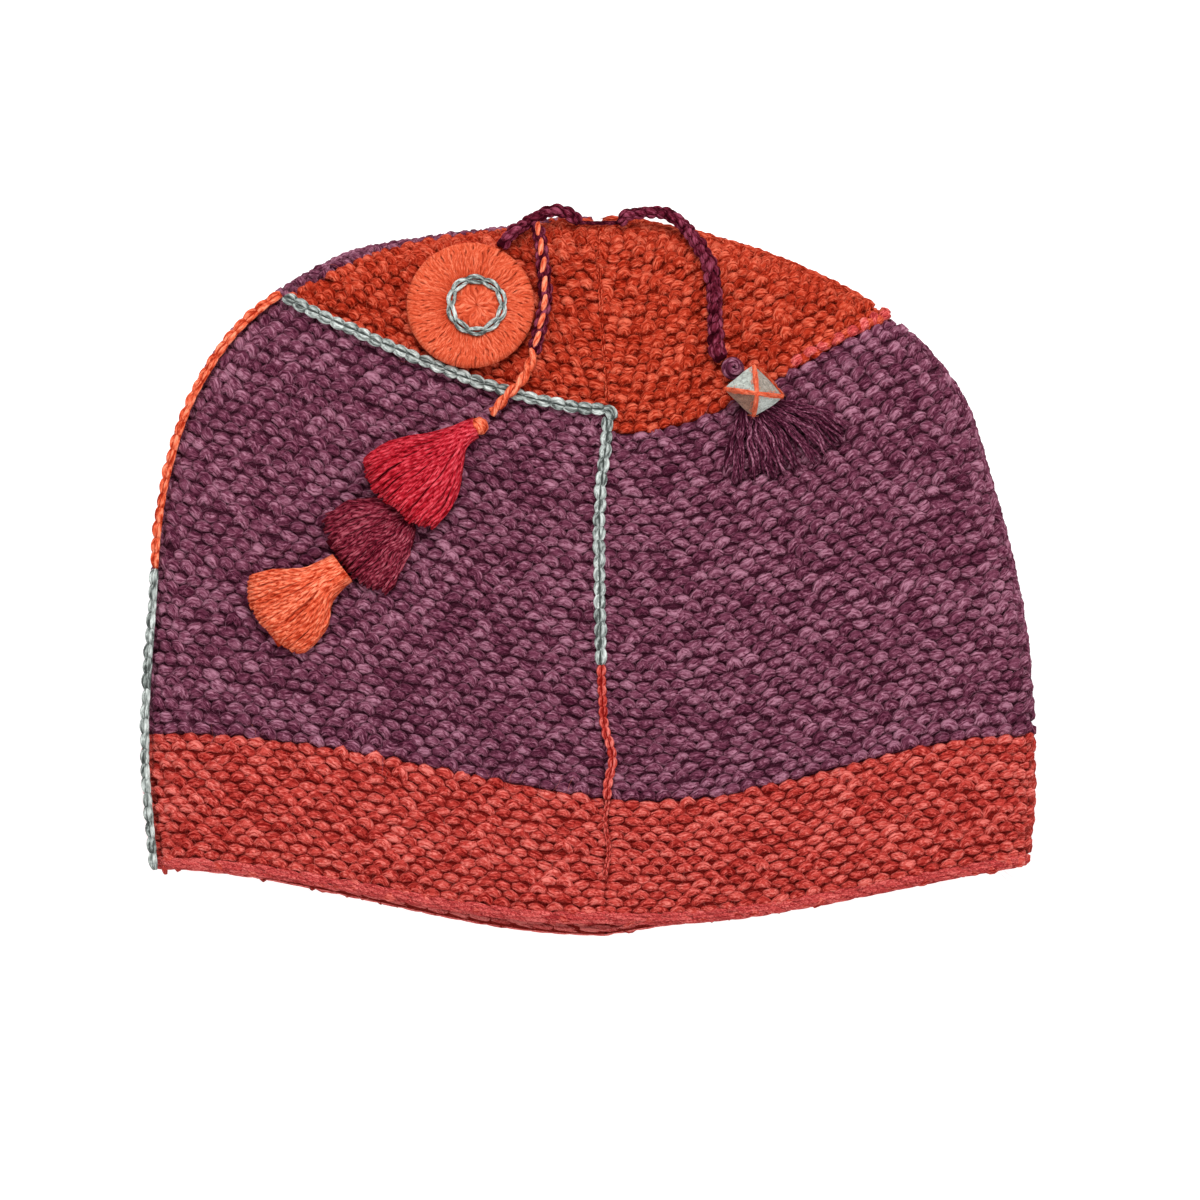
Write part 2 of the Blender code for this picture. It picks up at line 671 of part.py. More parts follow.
def hanging(folder, tree):
    """The cords with the disc, the tassels and the bead."""
    dark = wool("purple_wool", purple)
    orange = wool("bright_orange_wool", bright_orange)
    sewn = root(folder)
    disc_and_ring(folder, tree)
    foot, way = disc_frame(tree)
    toward = Vector((0.46, 0.89, 0.0))
    toward.z = -(way.x * toward.x + way.y * toward.y) / way.z
    toward.normalize()
    rim = foot + toward * (disc_radius + clear * 2) + way * (disc_height / 2)
    left = (sewn.x - root_length / 2 - clear - cap_room * disc_cord_size, sewn.y, sewn.z)
    thicker = bead_cord_size - root_size
    right = (sewn.x + root_length / 2 + clear + cap_room * bead_cord_size, sewn.y, sewn.z + thicker)
    cord("disc_cord", disc_cord_route, disc_cord_size, (left, tuple(rim)), dark, folder, tree)
    knot = ball("cord_knot", knot_place, knot_size, 0.85, orange, folder, tree)
    cord("tassel_cord", tassel_cord_route, tassel_cord_size, (None, None), dark, folder, tree)
    ball("bead_knot", bead_knot_place, bead_knot_size, 0.8, dark, folder, tree)
    cord("bead_cord", bead_cord_route, bead_cord_size, (right, None), dark, folder, tree)
    bead(folder, tree)
    wools = {
        "red_tassel": wool("scarlet_wool", scarlet),
        "burgundy_tassel": wool("burgundy_wool", burgundy),
        "orange_tassel": orange,
        "bead_tassel": dark,
    }
    for name, t in tassels.items():
        tassel(name, t, wools[name], folder, tree)


def main():
    clear_scene()
    folder = collection("tassel_hat")
    gores(folder)
    chains(folder)
    tree = fabric_below()
    hanging(folder, tree)


main()
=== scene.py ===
# A knitted wool hat of four gores that lies on its back, with cords, tassels, a wound disc and a felt bead.
# Metres. Every yarn is a strand: an ellipse carried along a line, many lines worked out at once.
import math

import bpy
import numpy as np
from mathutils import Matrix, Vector
from mathutils.bvhtree import BVHTree


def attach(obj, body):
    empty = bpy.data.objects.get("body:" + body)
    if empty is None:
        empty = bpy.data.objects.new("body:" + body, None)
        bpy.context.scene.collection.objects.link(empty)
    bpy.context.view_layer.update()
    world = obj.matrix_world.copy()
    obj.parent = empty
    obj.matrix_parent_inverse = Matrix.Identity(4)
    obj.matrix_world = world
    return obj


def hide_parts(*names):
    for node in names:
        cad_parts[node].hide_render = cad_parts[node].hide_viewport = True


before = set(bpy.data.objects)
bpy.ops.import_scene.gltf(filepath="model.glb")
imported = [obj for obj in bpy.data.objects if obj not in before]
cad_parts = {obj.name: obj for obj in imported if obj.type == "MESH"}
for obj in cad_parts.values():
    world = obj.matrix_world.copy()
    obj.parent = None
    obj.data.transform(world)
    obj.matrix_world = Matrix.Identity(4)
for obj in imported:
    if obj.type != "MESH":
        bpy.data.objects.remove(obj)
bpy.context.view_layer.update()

chance = np.random.default_rng(2611)

hat = {
    "flatWidth": 0.2800,
    "flatHeight": 0.2255,
    "loft": 0.0280,  # height of the front over the floor, at the middle
    "foldHeight": 0.0080,
    "fabric": 0.0040,
    "clear": 0.0003,
    "grow": 0.0008,  # the wool over the solid's own skin
    "shiftX": 0.0006,
    "shiftY": -0.0008,
    "domeReach": 0.075,  # how far in from the outline the front goes on rising
    "rightSeam": 12.0,  # degrees that the right seam lies under the fold
    "topShare": 0.988,
    "bandShare": 0.19,
    "leftCrownShare": 0.735,
    "rightCrownShare": 0.705,
    "leftColourShare": 0.381,
    "centreColourShare": 0.378,
}

# One row for each course of stitches, as shares of the flat width and height: the left fold, the middle
# of the front, the right fold, the middle of the back, the dome, the left seam in degrees, and the bends
courseNames = (
    "along leftX leftY midX midY rightX rightY backY top seam dipLeft dipRight swellLeft swellRight".split()
)
courseRows = np.array([
    (0.000, -0.491, 0.094, 0.017, 0.018, 0.491, 0.097, 0.000, 0.55, 8.5, 0.015, 0.018, 0.012, 0.000),
    (0.190, -0.501, 0.281, 0.018, 0.191, 0.497, 0.278, 0.185, 0.85, 8.5, 0.000, 0.025, 0.017, 0.017),
    (0.330, -0.493, 0.451, 0.013, 0.331, 0.484, 0.450, 0.325, 1.00, 8.5, 0.004, 0.027, 0.012, 0.012),
    (0.470, -0.480, 0.622, 0.010, 0.471, 0.452, 0.616, 0.465, 1.00, 8.5, 0.010, 0.030, 0.006, 0.008),
    (0.600, -0.441, 0.771, 0.010, 0.601, 0.409, 0.767, 0.600, 0.95, 9.5, 0.016, 0.033, 0.000, 0.004),
    (0.735, -0.355, 0.895, 0.019, 0.735, 0.313, 0.884, 0.735, 0.85, 12, 0.020, 0.032, -0.006, 0.000),
    (0.800, -0.275, 0.950, 0.016, 0.800, 0.252, 0.923, 0.800, 0.80, 14, 0.016, 0.026, -0.004, 0.000),
    (0.870, -0.176, 0.974, 0.012, 0.870, 0.172, 0.961, 0.870, 0.75, 6, 0.010, 0.016, 0.000, 0.000),
    (0.940, -0.076, 0.990, 0.009, 0.940, 0.085, 0.989, 0.940, 0.70, 2, 0.004, 0.006, 0.000, 0.000),
    (0.980, -0.025, 1.000, 0.009, 0.982, 0.038, 1.000, 0.982, 0.70, 2, 0.001, 0.001, 0.000, 0.000),
    (1.000, 0.009, 1.000, 0.009, 1.000, 0.009, 1.000, 1.000, 0.70, 8, 0.000, 0.000, 0.000, 0.000),
])


def column(name, along):
    # One column of the course table by cubic Hermite pieces, the slope at a row being that of its neighbours
    at = courseRows[:, 0]
    value = courseRows[:, courseNames.index(name)]
    slope = np.gradient(value, at)
    along = np.asarray(along, float)
    i = np.clip(np.searchsorted(at, along, side="right") - 1, 0, len(at) - 2)
    width = at[i + 1] - at[i]
    t = (along - at[i]) / width
    start = value[i] * (1 + 2 * t) * (1 - t) ** 2 + slope[i] * width * t * (1 - t) ** 2
    end = value[i + 1] * t**2 * (3 - 2 * t) + slope[i + 1] * width * t**2 * (t - 1)
    return start + end


def outline():
    # Up the left fold, over the top and down the right fold, going on straight down past the rim
    up = 1 - (1 - np.linspace(0, 1, 81)) ** 2
    left = np.column_stack([column("leftX", up), column("leftY", up)])
    right = np.column_stack([column("rightX", up), column("rightY", up)])[::-1][1:]
    line = np.concatenate([left[:1] - (0, 0.3), left, right, right[-1:] - (0, 0.3)])
    return line * (hat["flatWidth"], hat["flatHeight"])


outlineLine = outline()


def insetSome(place):
    # Distance to the nearest run of the outline, and its inward normal blended between the run's corners
    start = outlineLine[:-1]
    run = outlineLine[1:] - start
    gap = place[:, None, :] - start
    share = np.clip((gap * run).sum(-1) / (run * run).sum(-1), 0, 1)
    far = np.sqrt(((gap - share[..., None] * run) ** 2).sum(-1))
    nearest = far.argmin(-1)
    share = np.take_along_axis(share, nearest[:, None], axis=-1)
    facing = unit(np.stack([run[:, 1], -run[:, 0]], axis=-1))
    corner = unit(np.concatenate([facing[:1], facing[1:] + facing[:-1], facing[-1:]]))
    return far.min(-1), unit(corner[nearest] * (1 - share) + corner[nearest + 1] * share)


def inset(x, y):
    place = np.stack([x, y], axis=-1).reshape(-1, 2)
    batches = [insetSome(part) for part in np.array_split(place, max(1, len(place) // 6000))]
    deep = np.concatenate([b[0] for b in batches]).reshape(x.shape)
    return deep, np.concatenate([b[1] for b in batches]).reshape(*x.shape, 2)


def unit(v):
    return v / np.maximum(np.linalg.norm(v, axis=-1, keepdims=True), 1e-12)


def surface(angle, along):
    # The hat's outside and the way it faces. Angle is 0 at the front seam, a quarter turn at each fold and
    # a half turn at the back seam. Along is 0 at the rim and 1 at the top. In plan a course runs from seam
    # to fold by the sine of the angle, with a dip and a swell. Its height is a round fold at the outline
    # plus a low parabolic dome inside it on the front.
    angle, along = np.broadcast_arrays(np.asarray(angle, float), np.asarray(along, float))
    angle = (angle + math.pi) % (2 * math.pi) - math.pi
    left = angle < 0
    out = np.abs(np.sin(angle))
    rise = np.cos(angle)
    front = rise >= 0
    sideX = np.where(left, column("leftX", along), column("rightX", along))
    sideY = np.where(left, column("leftY", along), column("rightY", along))
    midX = column("midX", along)
    midY = np.where(front, column("midY", along), column("backY", along))
    dip = np.where(left, column("dipLeft", along), column("dipRight", along)) * 6.75 * out * (1 - out) ** 2
    swell = np.where(left, column("swellLeft", along), column("swellRight", along)) * 6.75 * out**2 * (1 - out)
    x = hat["flatWidth"] * (midX + (sideX - midX) * out)
    bend = (swell - dip) * np.clip(np.abs(rise) * 4, 0, 1) * np.where(front, 1, left * np.clip(1 - along / 0.1, 0, 1))
    y = hat["flatHeight"] * (midY + (sideY - midY) * out + bend)
    deep, inward = inset(x, y)
    deep = np.maximum(deep - inset(hat["flatWidth"] * sideX, hat["flatHeight"] * sideY)[0] * out, 0)
    lean = 1 - np.clip(deep / hat["foldHeight"], 0, 1)
    fold = np.sqrt(1 - lean**2)
    crest = np.where(front, (hat["loft"] - 2 * hat["foldHeight"]) * column("top", along), 0)
    flat = 1 - np.clip(deep / hat["domeReach"], 0, 1)
    z = hat["foldHeight"] * (1 + np.where(front, fold, -fold)) + crest * (1 - flat**2)
    steep = lean + fold * crest * 2 * flat / hat["domeReach"]
    facing = unit(np.concatenate([-inward * steep[..., None], np.where(front, fold, -fold)[..., None]], axis=-1))
    grown = facing * hat["grow"] * (1 - np.clip(-facing[..., 2:], 0, 1))
    return np.stack([x + hat["shiftX"], y - 0.5 * hat["flatHeight"] + hat["shiftY"], z], axis=-1) + grown, facing


def leftSeam(along):
    return -math.pi / 2 + np.radians(column("seam", along))


def rightSeam(along):
    return 0 * along + math.pi / 2 + math.radians(hat["rightSeam"])


def skinGrid():
    # A fine copy of the outside, to find how high it lies under a point
    angle, along = np.meshgrid(np.linspace(-1.7, 1.7, 140), np.linspace(0, 1, 110))
    points = surface(angle, along)[0].reshape(-1, 3)
    across = angle.shape[1]
    corner = (np.arange(angle.shape[0] - 1)[:, None] * across + np.arange(across - 1)).ravel()
    faces = np.stack([corner, corner + 1, corner + across + 1, corner + across], axis=-1)
    return BVHTree.FromPolygons(points.tolist(), faces.tolist())


skinTree = skinGrid()


def skinHit(x, y):
    return skinTree.ray_cast(Vector((x, y, 1.0)), Vector((0, 0, -1)))


def heightAt(x, y):
    hit = skinHit(x, y)
    return hat["foldHeight"] if hit[0] is None else hit[0].z


def heights(plan):
    return np.array([heightAt(x, y) for x, y in plan.reshape(-1, 2)]).reshape(plan.shape[:-1])


def slopeAt(x, y, reach):
    east = heightAt(x + reach, y) - heightAt(x - reach, y)
    north = heightAt(x, y + reach) - heightAt(x, y - reach)
    return Vector((-east, -north, 2 * reach)).normalized()


def smoothLine(points, step):
    # Cubic Hermite curve through the points, read a step apart
    points = np.array(points, float)
    along = np.concatenate([[0], np.cumsum(np.linalg.norm(np.diff(points, axis=0), axis=1))])
    slopes = np.gradient(points, along, axis=0)
    at = np.linspace(0, along[-1], max(4, math.ceil(along[-1] / step) + 1))
    i = np.clip(np.searchsorted(along, at, side="right") - 1, 0, len(along) - 2)
    width = (along[i + 1] - along[i])[:, None]
    t = (at - along[i])[:, None] / width
    start = points[i] * (1 + 2 * t) * (1 - t) ** 2 + slopes[i] * width * t * (1 - t) ** 2
    end = points[i + 1] * t**2 * (3 - 2 * t) + slopes[i + 1] * width * t**2 * (t - 1)
    return start + end


def lengthOf(line):
    return np.linalg.norm(np.diff(line, axis=0), axis=1).sum()


# Camera straight over the hat, with a long lens
camera = {"distance": 6.0, "imageSide": 0.3792, "midX": 0.0035, "midY": -0.0076, "sharpHeight": 0.018}


def makeCamera():
    data = bpy.data.cameras.new("camera")
    data.sensor_width = 36.0
    data.lens = data.sensor_width * camera["distance"] / camera["imageSide"]
    data.clip_end = 20.0
    seen = bpy.data.objects.new("camera", data)
    seen.location = (camera["midX"], camera["midY"], camera["sharpHeight"] + camera["distance"])
    bpy.context.scene.collection.objects.link(seen)
    bpy.context.scene.camera = seen


makeCamera()
print("camera set")


# Wool and felt. Low, middle and high are the colours of the hollows, with painted shade, of the body,
# and of the lit fibres, with painted highlight, as red, green and blue from 0 to 255
wools = {
    "purple": {"low": (62, 16, 36), "middle": (114, 58, 79), "high": (170, 116, 136)},
    "red": {"low": (120, 14, 12), "middle": (190, 64, 56), "high": (228, 122, 112)},
    "crownOrange": {"low": (112, 12, 0), "middle": (180, 54, 32), "high": (222, 106, 80)},
    "chainBlue": {"low": (70, 74, 72), "middle": (156, 163, 159), "high": (218, 224, 220)},
    "discOrange": {"low": (168, 48, 22), "middle": (206, 84, 54), "high": (236, 130, 98)},
    "brightOrange": {"low": (156, 36, 14), "middle": (222, 92, 60), "high": (250, 150, 116)},
    "scarlet": {"low": (110, 0, 8), "middle": (182, 30, 46), "high": (222, 84, 96)},
    "burgundy": {"low": (56, 0, 12), "middle": (122, 32, 50), "high": (176, 88, 102)},
    "darkPurple": {"low": (44, 0, 10), "middle": (96, 24, 42), "high": (144, 66, 88)},
    "tasselPurple": {"low": (46, 6, 24), "middle": (100, 44, 66), "high": (166, 112, 132)},
    "pinkRed": {"low": (124, 20, 26), "middle": (200, 72, 70), "high": (236, 126, 120)},
}
# Twist is turns for each strand width, ridge the height of the plies, and along and round the fibre
# streaks for each strand width and for each turn
spins = {
    "knit": {"twist": 0.2, "ridge": 0.03, "along": 2.4, "round": 16.0, "relief": 0.0005, "spread": 0.32},
    "cord": {"twist": 0.4, "ridge": 0.07, "along": 1.3, "round": 9.0, "relief": 0.0004, "spread": 0.36},
    "chain": {"twist": 0.3, "ridge": 0.08, "along": 1.0, "round": 8.0, "relief": 0.0004, "spread": 0.42},
    "tassel": {"twist": 0.34, "ridge": 0.10, "along": 0.8, "round": 5.0, "relief": 0.0003, "spread": 0.46},
    "loose": {"twist": 0.12, "ridge": 0.06, "along": 0.7, "round": 5.0, "relief": 0.0002, "spread": 0.38},
    "wound": {"twist": 0.26, "ridge": 0.06, "along": 0.8, "round": 6.0, "relief": 0.0002, "spread": 0.60},
}


def tone(colour):
    # A colour from 0 to 255 made linear by the usual screen curve
    c = np.array(colour) / 255
    return (*np.where(c <= 0.04045, c / 12.92, ((c + 0.055) / 1.055) ** 2.4), 1.0)


def node(tree, kind, **settings):
    made = tree.nodes.new(kind)
    for name, value in settings.items():
        if name.startswith("in"):
            made.inputs[int(name[2:])].default_value = value
        else:
            setattr(made, name, value)
    return made


def wool(colour, spin):
    # Ply ridges are the sine of turns round the strand plus turns along it. Fibre streaks are a noise
    # stretched along the strand. The colour runs from the painted shade of a hollow to the painted highlight
    # of a lit fibre by their mix, by a slow noise over the piece and by the strand's own shade, which holds
    # random tone, painted shade and painted light.
    look, yarn = wools[colour], spins[spin]
    material = bpy.data.materials.new(f"{colour}_{spin}")
    material.use_nodes = True
    tree = material.node_tree
    shader = tree.nodes["Principled BSDF"]
    link = tree.links.new
    uv = node(tree, "ShaderNodeUVMap", uv_map="yarn")
    turns = node(tree, "ShaderNodeVectorMath", operation="DOT_PRODUCT", in1=(yarn["twist"], 2.0, 0.0))
    wave = node(tree, "ShaderNodeMath", operation="MULTIPLY", in1=2 * math.pi)
    ridge = node(tree, "ShaderNodeMath", operation="SINE")
    stretch = node(tree, "ShaderNodeVectorMath", operation="MULTIPLY", in1=(yarn["along"], yarn["round"], 1.0))
    fibre = node(tree, "ShaderNodeTexNoise")
    fibre.inputs["Scale"].default_value = 1.0
    fibre.inputs["Detail"].default_value = 3.0
    fibre.inputs["Roughness"].default_value = 0.6
    fibre.inputs["Distortion"].default_value = 0.9
    link(uv.outputs[0], turns.inputs[0])
    link(turns.outputs["Value"], wave.inputs[0])
    link(wave.outputs[0], ridge.inputs[0])
    link(uv.outputs[0], stretch.inputs[0])
    link(stretch.outputs[0], fibre.inputs["Vector"])
    place = node(tree, "ShaderNodeTexCoord")
    slow = node(tree, "ShaderNodeTexNoise")
    slow.inputs["Scale"].default_value = 120.0
    slow.inputs["Detail"].default_value = 4.0
    link(place.outputs["Object"], slow.inputs["Vector"])
    shade = node(tree, "ShaderNodeAttribute", attribute_name="shade")
    plies = node(tree, "ShaderNodeMath", operation="MULTIPLY", in1=yarn["ridge"])
    link(ridge.outputs[0], plies.inputs[0])
    lie = node(tree, "ShaderNodeMath", operation="ADD")
    link(plies.outputs[0], lie.inputs[0])
    link(fibre.outputs["Fac"], lie.inputs[1])
    drift = node(tree, "ShaderNodeMath", operation="MULTIPLY_ADD", in1=0.07, in2=-0.035)
    link(slow.outputs["Fac"], drift.inputs[0])
    mixed = node(tree, "ShaderNodeMath", operation="ADD")
    link(lie.outputs[0], mixed.inputs[0])
    link(drift.outputs[0], mixed.inputs[1])
    whole = node(tree, "ShaderNodeMath", operation="ADD")
    link(mixed.outputs[0], whole.inputs[0])
    link(shade.outputs["Fac"], whole.inputs[1])
    # The ramp paints shade in the ply grooves and hollows, and highlights on the fibres.
    ramp = node(tree, "ShaderNodeValToRGB")
    stops = ramp.color_ramp.elements
    stops[0].position = 0.5 - yarn["spread"] / 2
    stops[0].color = tone(look["low"])
    stops[1].position = 0.5 + yarn["spread"] / 2
    stops[1].color = tone(look["high"])
    stops.new(0.5).color = tone(look["middle"])
    link(whole.outputs[0], ramp.inputs[0])
    link(ramp.outputs[0], shader.inputs["Base Color"])
    bump = node(tree, "ShaderNodeBump")
    bump.inputs["Strength"].default_value = 1.0
    bump.inputs["Distance"].default_value = yarn["relief"]
    link(lie.outputs[0], bump.inputs["Height"])
    link(bump.outputs[0], shader.inputs["Normal"])
    shader.inputs["Roughness"].default_value = 0.9
    shader.inputs["Specular IOR Level"].default_value = 0.04
    shader.inputs["Sheen Weight"].default_value = 0.07
    shader.inputs["Sheen Roughness"].default_value = 0.5
    shader.inputs["Sheen Tint"].default_value = tone(look["high"])
    return material


woolMade = {}


def woolOf(colour, spin):
    if (colour, spin) not in woolMade:
        woolMade[colour, spin] = wool(colour, spin)
    return woolMade[colour, spin]


def sweep(centres, ups, wide, tall, sides, shade=0.0):
    # Strands. An ellipse is carried along each row of centres, its tall axis on the up direction, and a
    # point closes each end. In the map, u counts widths along the strand and v turns once round it.
    count, rings = centres.shape[:2]
    way = unit(np.gradient(centres, axis=1))
    beside = unit(np.cross(way, ups))
    up = np.cross(beside, way)
    wide = np.broadcast_to(wide, (count, rings))
    tall = np.broadcast_to(tall, (count, rings))
    turn = 2 * math.pi * np.arange(sides) / sides - math.pi / 2
    ring = centres[:, :, None] + beside[:, :, None] * (np.cos(turn) * wide[..., None] / 2)[..., None]
    ring = ring + up[:, :, None] * (np.sin(turn) * tall[..., None] / 2)[..., None]
    points = np.concatenate([ring.reshape(count, -1, 3), centres[:, :1], centres[:, -1:]], axis=1)
    each = rings * sides + 2
    first = (np.arange(count) * each)[:, None, None]
    i, j = np.meshgrid(np.arange(rings - 1), np.arange(sides), indexing="ij")
    k = (j + 1) % sides
    quad = np.stack([i * sides + j, (i + 1) * sides + j, (i + 1) * sides + k, i * sides + k], axis=-1)
    last = (rings - 1) * sides
    a = np.arange(sides)
    b = (a + 1) % sides
    cap = np.stack([0 * a + each - 2, a, b], axis=-1)
    tail = np.stack([0 * a + each - 1, last + b, last + a], axis=-1)
    step = np.linalg.norm(np.diff(centres, axis=1), axis=-1)
    u = np.concatenate([np.zeros((count, 1)), np.cumsum(step, axis=1)], axis=1)
    u = u / wide.max(axis=1)[:, None] + chance.uniform(0, 20, (count, 1))
    u = np.broadcast_to(u[:, :, None], (count, rings, sides))
    v = np.broadcast_to(np.arange(sides) / sides, u.shape)
    nextV = v + 1 / sides
    corners = [(u[:, :-1], v[:, :-1]), (u[:, 1:], v[:, :-1]), (u[:, 1:], nextV[:, :-1]), (u[:, :-1], nextV[:, :-1])]
    quadUv = np.stack([np.stack(c, axis=-1) for c in corners], axis=-2)
    ends = []
    for at in (0, -1):
        near = [(u[:, at], v[:, at]), (u[:, at], v[:, at]), (u[:, at], nextV[:, at])]
        ends.append(np.stack([np.stack(c, axis=-1) for c in near], axis=-2))
    shade = np.asarray(shade, float)
    shade = np.broadcast_to(shade if shade.ndim == 2 else shade.reshape(-1, 1), (count, rings))
    return {
        "points": points.reshape(-1, 3),
        "quads": (quad.reshape(1, -1, 4) + first).reshape(-1, 4),
        "tris": (np.concatenate([cap, tail])[None] + first).reshape(-1, 3),
        "quadUv": quadUv.reshape(-1, 4, 2),
        "triUv": np.concatenate(ends, axis=1).reshape(-1, 3, 2),
        "shade": np.concatenate([np.repeat(shade, sides, axis=1), shade[:, :1], shade[:, -1:]], axis=1).ravel(),
    }


def wall(outer, inner, size, shade=0.0):
    # A wall between two grids of the same size, closed round its four edges, all in quads
    rows, across = outer.shape[:2]
    count = rows * across
    points = np.concatenate([outer.reshape(-1, 3), inner.reshape(-1, 3)])
    spot = np.arange(count).reshape(rows, across)
    quads = np.stack([spot[:-1, :-1], spot[:-1, 1:], spot[1:, 1:], spot[1:, :-1]], axis=-1).reshape(-1, 4)
    loop = np.concatenate([spot[0], spot[1:, -1], spot[-1, -2::-1], spot[-2:0:-1, 0]])
    after = np.roll(loop, -1)
    rim = np.stack([after, loop, loop + count, after + count], axis=-1)
    faces = np.concatenate([quads, quads[:, ::-1] + count, rim])
    flat = np.stack(np.meshgrid(np.arange(across) * size[1], np.arange(rows) * size[0]), axis=-1).reshape(-1, 2)
    part = {
        "points": points,
        "quads": faces,
        "tris": np.zeros((0, 3), int),
        "quadUv": np.concatenate([flat, flat])[faces],
        "triUv": np.zeros((0, 3, 2)),
        "shade": np.full(len(points), shade),
    }
    a, b, c, d = (points[faces[:, i]] for i in range(4))
    volume = (a * np.cross(b, c)).sum() + (a * np.cross(c, d)).sum()
    if volume < 0:
        part["quads"] = faces[:, ::-1]
        part["quadUv"] = part["quadUv"][:, ::-1]
    return part


def putMesh(name, parts, material, replaced=(), others=()):
    # Joins parts to one piece of the hat that rides on its only body. Others holds more pairs of parts and
    # their material.
    groups = [(parts, material), *others]
    parts = [part for group, look in groups for part in group]
    lookOf = [i for i, group in enumerate(groups) for part in group[0]]
    first = np.cumsum([0] + [len(p["points"]) for p in parts])
    points = np.concatenate([p["points"] for p in parts])
    points[:, 2] = np.maximum(points[:, 2], 0.00002)  # flat where it rests on the floor
    quads = np.concatenate([p["quads"] + n for p, n in zip(parts, first)])
    tris = np.concatenate([p["tris"] + n for p, n in zip(parts, first)])
    uv = np.concatenate([*[p["quadUv"].reshape(-1, 2) for p in parts], *[p["triUv"].reshape(-1, 2) for p in parts]])
    mesh = bpy.data.meshes.new(name)
    mesh.vertices.add(len(points))
    mesh.vertices.foreach_set("co", points.astype(np.float32).ravel())
    mesh.loops.add(4 * len(quads) + 3 * len(tris))
    mesh.loops.foreach_set("vertex_index", np.concatenate([quads.ravel(), tris.ravel()]).astype(np.int32))
    mesh.polygons.add(len(quads) + len(tris))
    starts = np.concatenate([np.arange(len(quads)) * 4, 4 * len(quads) + np.arange(len(tris)) * 3])
    mesh.polygons.foreach_set("loop_start", starts.astype(np.int32))
    mesh.update(calc_edges=True)
    mesh.uv_layers.new(name="yarn").data.foreach_set("uv", uv.astype(np.float32).ravel())
    shade = mesh.attributes.new("shade", "FLOAT", "POINT")
    shade.data.foreach_set("value", np.concatenate([p["shade"] for p in parts]).astype(np.float32))
    for group in groups:
        mesh.materials.append(group[1])
    quadLook = np.repeat(lookOf, [len(p["quads"]) for p in parts])
    triLook = np.repeat(lookOf, [len(p["tris"]) for p in parts])
    mesh.polygons.foreach_set("material_index", np.concatenate([quadLook, triLook]).astype(np.int32))
    mesh.shade_smooth()
    made = bpy.data.objects.new(name, mesh)
    bpy.context.scene.collection.objects.link(made)
    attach(made, "root")
    if replaced:
        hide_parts(*replaced)
    return made


def triangles(made):
    return sum(len(p.vertices) - 2 for p in made.data.polygons)


# Cords. Routes are across, up, and the height of the underside over the fabric, as on the solids
cords = {
    "disc": {
        "size": 0.0044,
        "length": 0.0315,
        "route": [
            (-0.0060, 0.1142, 0.0072),
            (-0.0085, 0.1153, 0.0075),
            (-0.0111, 0.1155, 0.0075),
            (-0.0139, 0.1149, 0.0074),
            (-0.0167, 0.1135, 0.0072),
            (-0.0196, 0.1117, 0.0066),
            (-0.0224, 0.1098, 0.0050),
            (-0.0250, 0.1077, 0.0028),
        ],
    },
    "tassel": {
        "size": 0.0044,
        "length": 0.067,
        "hangs": ("red_tassel", "burgundy_tassel"),
        "route": [
            (-0.0163, 0.1106, 0.0006),
            (-0.0156, 0.1074, 0.0004),
            (-0.0150, 0.1036, 0.0000),
            (-0.0145, 0.0992, 0.0000),
            (-0.0142, 0.0945, 0.0000),
            (-0.0139, 0.0901, 0.0000),
            (-0.0140, 0.0856, 0.0000),
            (-0.0149, 0.0812, 0.0000),
            (-0.0158, 0.0767, 0.0000),
            (-0.0170, 0.0720, 0.0003),
            (-0.0183, 0.0676, 0.0012),
            (-0.0212, 0.0616, 0.0023),
            (-0.0262, 0.0565, 0.0023),
            (-0.0290, 0.0530, 0.0008),
            (-0.0308, 0.0515, 0.0003),
        ],
        "twistFrom": 0.62,  # share of the length where crochet gives way to twisted strands
    },
    "bead": {
        "size": 0.0050,
        "length": 0.072,
        "hangs": ("bead_tassel",),
        "route": [
            (0.0117, 0.1139, 0.0074),
            (0.0149, 0.1145, 0.0075),
            (0.0183, 0.1150, 0.0075),
            (0.0215, 0.1151, 0.0074),
            (0.0246, 0.1143, 0.0072),
            (0.0278, 0.1125, 0.0070),
            (0.0307, 0.1098, 0.0050),
            (0.0332, 0.1068, 0.0020),
            (0.0354, 0.1036, 0.0004),
            (0.0373, 0.1002, 0.0000),
            (0.0386, 0.0967, 0.0000),
            (0.0392, 0.0932, 0.0000),
            (0.0395, 0.0890, 0.0000),
            (0.0397, 0.0845, 0.0000),
            (0.0398, 0.0800, 0.0000),
            (0.0400, 0.0755, 0.0000),
            (0.0405, 0.0712, 0.0000),
            (0.0420, 0.0682, 0.0000),
        ],
    },
    "crochetPitch": 0.0034,
    "columns": 5,
}
cordRoot = {"size": 0.0044, "length": 0.0130, "up": 0.1116, "thin": 0.0014}
disc = {
    "place": (-0.0373, 0.0849),
    "radius": 0.0206,
    "height": 0.0050,
    "strands": 190,
    "overChain": 0.0006,
    "ringPlace": (-0.0354, 0.0844),
    "ringRadius": 0.0083,
    "ringSize": 0.0034,
    "ringStitches": 10,
    "petals": 26,
}


def rootPlace():
    place, facing = surface(0.0, hat["topShare"])
    return place + facing * (hat["clear"] + 0.525 * cordRoot["size"])


def discFrame():
    # The middle of the disc's underside, raised until its rim clears the fabric, and the way it faces
    x, y = disc["place"]
    radius, height = disc["radius"], disc["height"]
    way = slopeAt(x, y, 0.7 * radius)
    foot = 0.0
    for turn in 2 * math.pi * np.arange(24) / 24:
        for reach in (0.35, 0.7, 0.95):
            px = x + reach * radius * math.cos(turn)
            py = y + reach * radius * math.sin(turn)
            level = -(way.x * (px - x) + way.y * (py - y)) / way.z
            swell = height * 0.5 * max(0.0, reach**4 - 0.15)
            foot = max(foot, heightAt(px, py) - level - heightAt(x, y) - swell)
    return Vector((x, y, heightAt(x, y) + foot + hat["clear"] + disc["overChain"])), way


